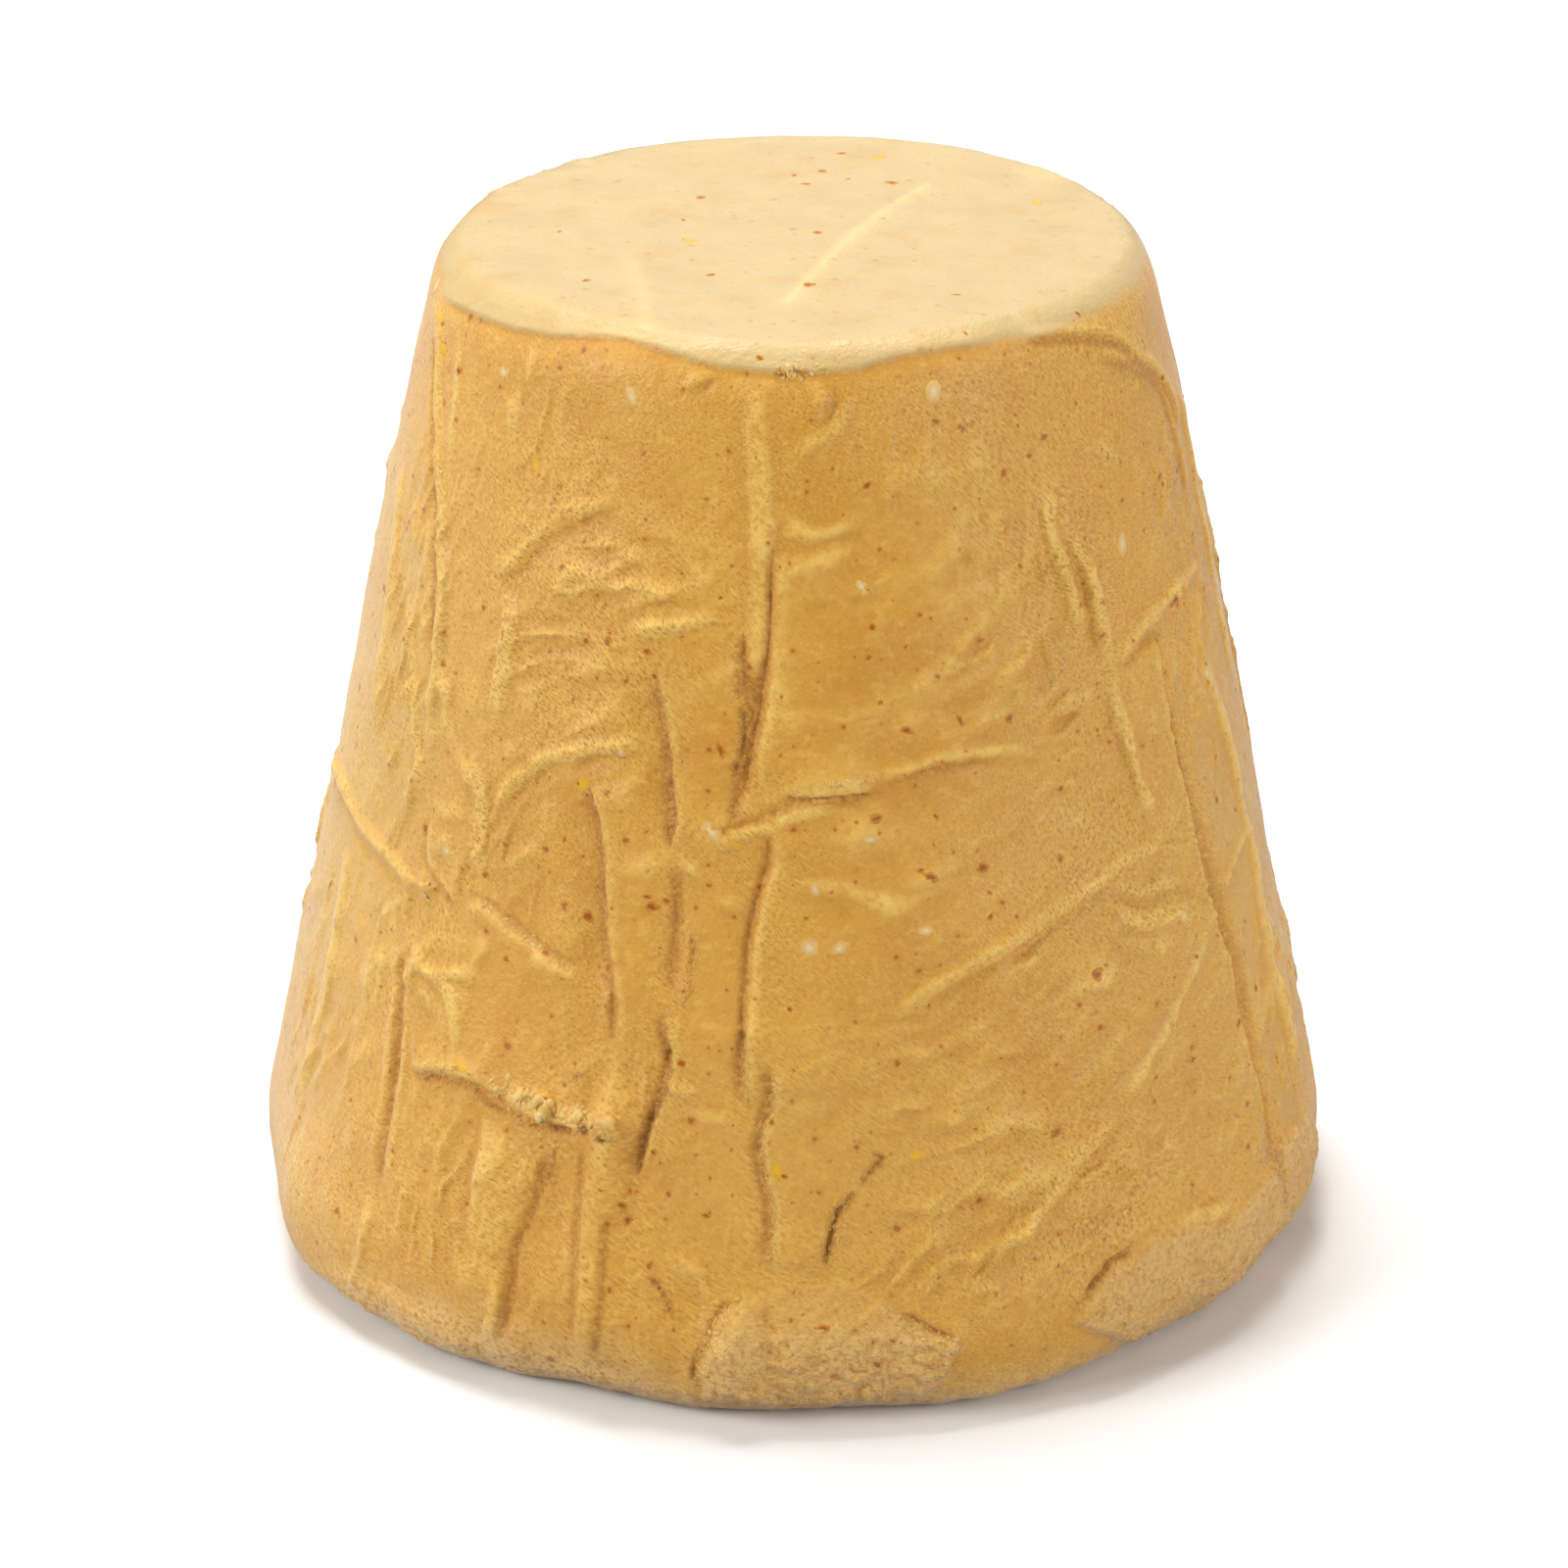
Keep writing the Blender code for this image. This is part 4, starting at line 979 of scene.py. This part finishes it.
curd, tree, shader = finish("curd_rind")
spot = add(tree, 'ShaderNodeTexCoord')["Object"]
cloth = add(tree, 'ShaderNodeUVMap', uv_map="cloth")[0]
ragged_spot = ragged_place(tree, spot, 0.7, 0.30)
top = attribute(tree, "top")
painted_light_amount = attribute(tree, "painted_light")
dry = attribute(tree, "bloom")
dirt_and_shade_mask = attribute(tree, "dirt_and_shade")
upright = stretched(tree, spot, 0, (1, 1, 1.7))
streaks = stretched(tree, ragged_place(tree, spot, 6.0, 1.2), -8, (0.85, 1.1, 1))
side_colour = coated(
    tree, mixed(tree, cloudy(tree, spot, 9.0, 0.32, 0.68), CURD, CURD_DEEP),
    (cloudy(tree, spot, 3.2, 0.54, 0.72), CURD_YELLOW, 0.45),
    (cloudy(tree, ragged_spot, 1.1, 0.50, 0.75), CURD_DARK_AND_SHADE, 0.30),
    (cloudy(tree, upright, 1.4, 0.50, 0.72), CURD_LIGHT_AND_HIGHLIGHT, 0.32),
    (cloudy(tree, spot, 0.42, 0.52, 0.70), CURD_DARK_AND_SHADE, 0.40),
    (cloudy(tree, ragged_spot, 0.33, 0.52, 0.80), CURD_LIGHT_AND_HIGHLIGHT, 0.38),
    # Painted highlight on the folds' crests and painted shade in their valleys.
    (times(tree, painted_light_amount, cloudy(tree, ragged_spot, 0.8, 0.22, 0.58)), CURD_LIGHT_AND_HIGHLIGHT, 0.85),
    (times(tree, painted_light_amount, -1.0, clamp=True), CURD_DARK_AND_SHADE, 0.40))
top_colour = mixed(tree, cloudy(tree, streaks, 3.8, 0.45, 0.80, detail=5.0), CURD_TOP, CURD_TOP_DEEP)
colour = coated(
    tree, mixed(tree, top, side_colour, top_colour),
    # Painted highlight along the top's scored lines and its rim.
    (times(tree, top, painted_light_amount), DRY_CURD_AND_HIGHLIGHT, 0.90),
    # Painted light: the left flank, and softer patches round the sides and back, paler and yellower.
    (attribute(tree, "flank"), FLANK_LIGHT_COLOUR, 0.55),
    (times(tree, dry, cloudy(tree, ragged_spot, 2.4, 0.12, 0.56)), DRY_CURD_AND_HIGHLIGHT, 0.85),
    (times(tree, dry, cloudy(tree, ragged_spot, 0.50, 0.50, 0.60)), PRINT_BROWN, 0.68))

# The threads' dents: slanting dashes in rows, each of its own depth, drawn on the unrolled side
wavy_cloth = ragged_place(tree, cloth, 0.9, 0.15)


def threads(turn):
    """Masks of the threads' dents in rows, and of the brown and the pale fibres between them, at a slant."""
    slanted = stretched(tree, wavy_cloth, turn, (0.62, 1.40, 1.0))
    rows = add(tree, 'ShaderNodeTexVoronoi', voronoi_dimensions='2D', inputs={
        "Vector": slanted, "Scale": PER_MM / 0.46, "Randomness": 0.85})
    each = add(tree, 'ShaderNodeSeparateColor', {0: rows["Color"]})[0]
    dent = mapped(tree, rows["Distance"], {"From Min": 0.38, "From Max": 0.10}, 'SMOOTHSTEP')
    dents = times(tree, dent, mapped(tree, each, {"To Min": 0.15, "To Max": 0.95}))
    return dents, cloudy(tree, slanted, 0.36, 0.50, 0.66), cloudy(tree, slanted, 0.27, 0.50, 0.70)


steeper = attribute(tree, "steep")
dents, brown, pale = [
    add(tree, 'ShaderNodeMix', {0: steeper, 2: gentle, 3: sharp}, data_type='FLOAT')[0]
    for gentle, sharp in zip(threads(34), threads(58))]
cloth_pressed = times(tree, attribute(tree, "woven"), cloudy(tree, spot, 4.0, 0.22, 0.50))
printed = times(tree, dents, cloth_pressed)
colour = coated(
    tree, colour,
    (cloth_pressed, CURD_LIGHT_AND_HIGHLIGHT, 0.16),
    (times(tree, pale, cloth_pressed), CURD_LIGHT_AND_HIGHLIGHT, 0.70),
    (times(tree, brown, cloth_pressed), PRINT_BROWN, 0.46),
    (printed, PRINT_BROWN, 0.66),
    # Brown darkening in creases, grooves, splits and holes, partly dirt and partly painted shade.
    (dirt_and_shade_mask, CURD_DARK_AND_SHADE, 0.55),
    (times(tree, dirt_and_shade_mask, cloudy(tree, ragged_spot, 0.42, 0.42, 0.55)), CREASE_BROWN_AND_SHADE, 0.80))

# Small flecks, fewer on the top, and a few faint spots of oil and grains
side_more = mapped(tree, top, {"To Min": 1.0, "To Max": 0.35})
for spacing, share, biggest, strength in ((1.0, 0.55, 0.20, 0.9), (1.7, 0.65, 0.34, 1.0)):
    core, halo = flecks(tree, ragged_spot, spacing, share, biggest)
    colour = coated(tree, colour, (times(tree, halo, side_more), PAPRIKA, 0.50 * strength),
                    (times(tree, core, side_more), PAPRIKA_DARK, 0.75 * strength))
oil_core, oil_halo = flecks(tree, ragged_place(tree, spot, 1.2, 0.5), 12.0, 0.30, 0.75)
white_core = flecks(tree, ragged_place(tree, spot, 0.5, 0.25), 6.5, 0.25, 0.45)[0]
colour = coated(tree, colour, (oil_halo, OIL_YELLOW, 0.40), (oil_core, OIL_YELLOW, 0.60),
                (white_core, WHITE_GRAIN, 0.55))

# Relief too fine for the mesh, from soft dents down to the grain of the curd
normal = bumped(tree, grainy(tree, spot, 2.2, 2.0, 0.55), 0.55, 0.00026)
for size, deep, detail in ((0.8, 0.00018, 2.0), (0.30, 0.00013, 3.0)):
    normal = bumped(tree, grainy(tree, spot, size, detail, 0.55), 0.55, deep, Normal=normal)
broken = times(tree, grainy(tree, spot, 0.42, 2.0, 0.6), attribute(tree, "crumble"))
normal = bumped(tree, broken, 0.8, 0.00045, Normal=normal)
print_bump = add(tree, 'ShaderNodeBump', invert=True, inputs={
    "Height": printed, "Strength": 0.5, "Distance": 0.00005, "Normal": normal})
shine = mapped(tree, cloudy(tree, spot, 5.0, 0.3, 0.7), {"To Min": 0.38, "To Max": 0.58})
feed(tree, shader, {"Base Color": colour, "Roughness": shine, "IOR": 1.40, "Sheen Weight": 0.35,
                    "Sheen Roughness": 0.45, "Normal": print_bump[0]})

rind_mesh.materials.clear()
rind_mesh.materials.append(curd)
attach(cheese, "root")
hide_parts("cheese")


# Flakes of paprika, white grains and spots of oil
# Each lies just under the rind and shows through it with a soft edge: a thin lens that follows the rind and
# dips under it all round. Those in front lie where the photograph shows them, the others at random.
FLAKE_PLACES = (925, 745, 980, 735, 1030, 733, 660, 665, 668, 690, 590, 800, 600, 935, 735, 765, 806, 1030,
    635, 1230, 640, 1245, 667, 1176, 950, 895, 940, 888, 955, 833, 1003, 885, 1011, 935, 1120, 995, 1120,
    745, 1050, 465, 955, 430, 885, 495, 735, 610, 890, 640, 1078, 1155, 695, 1085, 775, 905, 660, 915, 665,
    925, 435, 845, 620, 655, 1100, 320, 985, 340, 775, 365, 840, 1355, 895, 835, 720, 1240, 800, 1200)
GRAIN_PLACES = (888, 857, 725, 849, 826, 967, 856, 968, 953, 400, 645, 405, 514, 380, 880, 600, 456, 868,
    832, 908, 945, 950, 633, 768, 1232, 686, 1208, 935, 433, 912, 1145, 555)
OIL_PLACES = (450, 325, 453, 357, 547, 475, 471, 1088, 793, 1195, 935, 1180, 595, 800, 750, 862)
RIND_OCHRE = (0.712, 0.352, 0.048, 1)
PAPRIKA_STAIN = (0.600, 0.240, 0.014, 1)
WHITE_STAIN = (0.780, 0.500, 0.170, 1)
OIL_STAIN = (0.780, 0.420, 0.030, 1)
OUTSIDE = 0.09
ABOVE = 0.12
WHOLE_TURN = 6.28
strewn = random.Random(12)
rind_tree = BVHTree.FromObject(cheese, bpy.context.evaluated_depsgraph_get())


def seen_place(across, down):
    """Where a place in the photograph lies on the finished rind, and the way the rind faces there."""
    return rind_tree.ray_cast(Vector(VIEW_PLACE), sight(across, down).normalized())[:2]


def seen_places(route):
    return [seen_place(across, down) for across, down in zip(route[::2], route[1::2])]


def side_place(angle, height):
    """The place on the side at degrees round and millimetres up, and the way the rind faces there."""
    out = Vector((math.sin(math.radians(angle)), -math.cos(math.radians(angle)), 0))
    return rind_tree.ray_cast(out * OUTSIDE + Vector((0, 0, height * MM)), -out)[:2]


def strewn_places(count, on_face=0):
    """Random places on the side where the photograph doesn't look, and on the top face."""
    found = [side_place(strewn.uniform(58, 302), HEIGHT * strewn.uniform(0.04, 0.97)) for _ in range(count)]
    for _ in range(on_face):
        turn = strewn.uniform(0, 2 * math.pi)
        out = 0.85 * face_edge * MM * math.sqrt(strewn.random())
        above = Vector((out * math.cos(turn), out * math.sin(turn), ABOVE))
        found.append(rind_tree.ray_cast(above, Vector((0, 0, -1)))[:2])
    return found


def levelled(facing):
    """A turn that brings Z to the way the rind faces, with a random turn about it."""
    spin = Matrix.Rotation(strewn.uniform(0, WHOLE_TURN), 3, 'Z')
    return facing.to_track_quat('Z', 'Y').to_matrix() @ spin


def lenses(name, spots, sizes, material):
    """One mesh of thin lenses that follow the rind at the places, with a mask that is 1 in their middle."""
    made = bmesh.new()
    inner = made.verts.layers.float.new("inner")
    for place, facing in spots:
        size = strewn.uniform(*sizes) * MM
        drawn = strewn.uniform(0.65, 1.5)
        level = levelled(facing)
        for vert in bmesh.ops.create_icosphere(made, subdivisions=2, radius=1.0)["verts"]:
            across, along_it, up = vert.co
            out = math.hypot(across, along_it)
            ragged = 1 + 0.55 * noise.noise(vert.co * 1.5 + place * PER_MM)
            near, faces_to = rind_tree.find_nearest(
                place + level @ Vector((across * drawn, along_it / drawn, 0)) * size * ragged)[:2]
            vert.co = near + faces_to * (0.060 * up - 0.025 - 0.020 * out) * MM
            vert[inner] = 1 - out
    mesh = bpy.data.meshes.new(name)
    made.to_mesh(mesh)
    made.free()
    mesh.shade_smooth()
    mesh.materials.append(material)
    return shown(mesh, name)


# A spot's colour runs from the rind's own at the rim, through a stain, to the core, with ragged edges
sunk_spot, taken, given = effect(
    "sunk_spot", ("Inner", "Mottled", "Ragged"), ("Rim", "Curd", "Stained", "Core"),
    "Color", 'NodeSocketColor')
rough_edge = add(sunk_spot, 'ShaderNodeTexNoise', {
    "Vector": taken["Vector"], "Scale": PER_MM / 0.22, "Detail": 3.0})
amount = add(sunk_spot, 'ShaderNodeMath', {0: rough_edge[0], 1: taken["Ragged"], 2: taken["Inner"]},
             operation='MULTIPLY_ADD')[0]
tinted = mixed(sunk_spot, taken["Mottled"], taken["Rim"], taken["Curd"])
for start, end, shade in ((0.35, 0.80, "Stained"), (0.86, 1.08, "Core")):
    reached = mapped(sunk_spot, amount, {"From Min": start, "From Max": end}, 'SMOOTHSTEP')
    tinted = mixed(sunk_spot, reached, tinted, taken[shade])
feed(sunk_spot, given, {"Color": tinted})


def spot_finish(name, rim, stained, core, ragged):
    """Colour that runs from the rind's own at the rim, through a stain, to the core, with ragged edges."""
    made, tree, shader = finish(name)
    here = add(tree, 'ShaderNodeTexCoord')["Object"]
    tinted = add(tree, 'ShaderNodeGroup', node_tree=sunk_spot, inputs={
        "Vector": here, "Inner": attribute(tree, "inner"), "Mottled": cloudy(tree, here, 0.8, 0.3, 0.7),
        "Ragged": ragged, "Rim": rim, "Curd": CURD, "Stained": stained, "Core": core})
    feed(tree, shader, {
        "Base Color": tinted["Color"], "Roughness": 0.46, "IOR": 1.40, "Sheen Weight": 0.35,
        "Sheen Roughness": 0.45, "Normal": bumped(tree, grainy(tree, here, 0.5), 0.5, 0.0001)})
    return made


paprika_finish = spot_finish("paprika_flake", RIND_OCHRE, PAPRIKA_STAIN, PAPRIKA_DARK, 0.75)
white_finish = spot_finish("white_grain", RIND_OCHRE, WHITE_STAIN, WHITE_GRAIN, 0.45)
oil_finish = spot_finish("oil_spot", RIND_OCHRE, OIL_STAIN, OIL_YELLOW, 0.60)
for name, route, numbers, sizes, material in (
        ("paprika_flakes", FLAKE_PLACES, (90, 14), (0.30, 0.85), paprika_finish),
        ("white_grains", GRAIN_PLACES, (24, 0), (0.75, 1.25), white_finish),
        ("oil_spots", OIL_PLACES, (14, 3), (0.70, 1.10), oil_finish)):
    piece = lenses(name, seen_places(route) + strewn_places(*numbers), sizes, material)
    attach(piece, "root")


# Crumbs of curd
# Where the crust broke, paler curd from inside shows as crumbs stuck to the edges, sunk about half way in.
CRUMB_ROUTES = (
    (((796, 376), (806, 380), (816, 384), (828, 380), (842, 377)), 0.35, 46, 0.42),
    (((838, 803), (852, 800), (866, 799), (880, 799), (893, 797)), 0.20, 70, 0.42),
    (((420, 1090), (440, 1091), (462, 1094), (485, 1101), (502, 1110)), 0.35, 44, 0.42),
    (((505, 1108), (530, 1120), (560, 1132), (590, 1143), (612, 1148)), 0.60, 90, 0.70),
    (((606, 1140), (620, 1146), (624, 1158), (610, 1160)), 0.35, 40, 0.60),
    (((478, 922), (505, 930), (535, 955), (560, 975)), 0.30, 50, 0.35),
    (((903, 1338), (925, 1350), (945, 1362), (972, 1370), (968, 1388), (955, 1408)), 0.35, 60, 0.50),
    (((712, 1420), (716, 1395), (724, 1368), (738, 1345), (752, 1330)), 0.35, 60, 0.50),
    (((752, 694), (760, 748), (752, 790)), 0.25, 20, 0.28),
    (((688, 1078), (676, 1120), (660, 1160)), 0.25, 22, 0.28),
    (((430, 1375), (500, 1400), (600, 1420), (700, 1432)), 0.80, 60, 0.40),
    (((1000, 1425), (1080, 1400), (1160, 1360), (1240, 1290)), 0.80, 60, 0.40),
    (((1120, 455), (1130, 464), (1141, 471)), 0.25, 22, 0.40),
    (((1190, 500), (1200, 535)), 0.40, 16, 0.35),
    (((875, 1212), (853, 1240), (843, 1280)), 0.40, 26, 0.35))
CHUNKS = ((528, 1119, 1.7), (545, 1126, 1.4), (556, 1132, 1.5), (563, 1127, 1.1), (550, 1137, 1.1),
          (571, 1137, 1.4), (590, 1141, 1.2), (614, 1146, 1.7), (621, 1156, 1.1), (806, 379, 0.9),
          (433, 905, 1.3), (1133, 462, 1.0), (962, 1378, 1.2))
FRESH_CURD = (0.830, 0.570, 0.190, 1)
FRESH_CURD_DEEP = (0.730, 0.420, 0.080, 1)
FINE_CRUMB = 0.35
PHOTO_PER_MM = 11.4
crumbs = bmesh.new()


def crumb(place, facing, size):
    """A lump of a size in millimetres, sunk about half way into the rind."""
    level = levelled(facing)
    squeeze = Vector((strewn.uniform(0.8, 1.4), strewn.uniform(0.7, 1.0), strewn.uniform(0.40, 0.70)))
    rounds = 1 if size < FINE_CRUMB else 2
    middle_of_it = place - facing * 0.16 * size * MM
    for vert in bmesh.ops.create_icosphere(crumbs, subdivisions=rounds, radius=1.0)["verts"]:
        lumpy = 1 + 1.1 * noise.noise(vert.co * 1.9 + place * PER_MM)
        shaped = Vector((vert.co[axis] * squeeze[axis] * lumpy for axis in range(3)))
        vert.co = middle_of_it + level @ shaped * size / 2 * MM


for route, spread, number, biggest in CRUMB_ROUTES:
    for _ in range(number):
        leg = strewn.randrange(len(route) - 1)
        part = strewn.random()
        across = route[leg][0] * (1 - part) + route[leg + 1][0] * part
        down = route[leg][1] * (1 - part) + route[leg + 1][1] * part
        place, facing = seen_place(across + strewn.gauss(0, spread * PHOTO_PER_MM),
                                   down + strewn.gauss(0, spread * PHOTO_PER_MM))
        if place is not None and place.z > 0.6 * MM:
            crumb(place, facing, biggest * strewn.uniform(0.4, 1.15))
for across, down, size in CHUNKS:
    crumb(*seen_place(across, down), size)
for place, facing in strewn_places(60):
    for _ in range(3):
        aside = Vector((strewn.gauss(0, 0.7), strewn.gauss(0, 0.7), strewn.gauss(0, 0.9))) * MM
        near, faces_to = rind_tree.find_nearest(place + aside)[:2]
        crumb(near, faces_to, strewn.uniform(0.15, 0.45))
crumb_mesh = bpy.data.meshes.new("curd_crumbs")
crumbs.to_mesh(crumb_mesh)
crumbs.free()
crumb_mesh.shade_smooth()
fresh, tree, shader = finish("fresh_curd")
here = add(tree, 'ShaderNodeTexCoord')["Object"]
feed(tree, shader, {
    "Base Color": mixed(tree, cloudy(tree, here, 1.2, 0.35, 0.65), FRESH_CURD, FRESH_CURD_DEEP),
    "Normal": bumped(tree, grainy(tree, here, 0.2, 3.0), 0.6, 0.0001),
    "Roughness": 0.55, "Sheen Weight": 0.15})
crumb_mesh.materials.append(fresh)
curd_crumbs = shown(crumb_mesh, "curd_crumbs")
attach(curd_crumbs, "root")


# Floor and light
# A seamless white table, a lamp above and behind, one on each side in front, and a dim white room round it.
TABLE_WHITE = (0.99, 0.99, 0.99, 1)
TABLE_GREY = (0.40, 0.40, 0.40, 1)
floor_sheet = bmesh.new()
bmesh.ops.create_grid(floor_sheet, x_segments=1, y_segments=1, size=3.0)
floor_mesh = bpy.data.meshes.new("white_table")
floor_sheet.to_mesh(floor_mesh)
floor_sheet.free()
white_table = shown(floor_mesh, "white_table")
white_table.location = (0, 0, -0.0001)
white, tree, shader = finish("white_table")
straight = add(tree, 'ShaderNodeLightPath')["Is Camera Ray"]
feed(tree, shader, {"Base Color": mixed(tree, straight, TABLE_GREY, TABLE_WHITE), "Roughness": 0.8})
floor_mesh.materials.append(white)


def softbox(name, place, aim, size, power):
    """A square lamp of a size in metres that faces a point."""
    lamp = bpy.data.lights.new(name, 'AREA')
    lamp.shape = 'RECTANGLE'
    lamp.size = size[0]
    lamp.size_y = size[1]
    lamp.energy = power
    box = bpy.data.objects.new(name, lamp)
    box.location = place
    box.rotation_euler = (Vector(aim) - Vector(place)).to_track_quat('-Z', 'Y').to_euler()
    bpy.context.scene.collection.objects.link(box)


softbox("lamp_above", (-0.12, 0.28, 1.00), (0, 0, 0.05), (0.5, 0.5), 10.2)
softbox("lamp_left", (-0.88, -0.40, 0.54), (0, 0, 0.05), (0.5, 0.5), 7.8)
softbox("lamp_right", (0.86, -0.50, 0.34), (0, 0, 0.05), (0.7, 0.6), 6.0)

world = bpy.data.worlds.new("white_room")
bpy.context.scene.world = world
world.use_nodes = True
feed(world.node_tree, world.node_tree.nodes["Background"], {"Color": (1, 1, 1, 1), "Strength": 0.17})
bpy.context.scene.view_settings.view_transform = 'Standard'
bpy.context.scene.view_settings.look = 'None'

# Camera: a long lens, a little above the cheese
camera = bpy.data.objects.new("camera", bpy.data.cameras.new("camera"))
camera.data.sensor_width = VIEW_SENSOR
camera.data.lens = VIEW_LENS
camera.location = VIEW_PLACE
camera.rotation_euler = (VIEW_TURN, 0, 0)
bpy.context.scene.collection.objects.link(camera)
bpy.context.scene.camera = camera
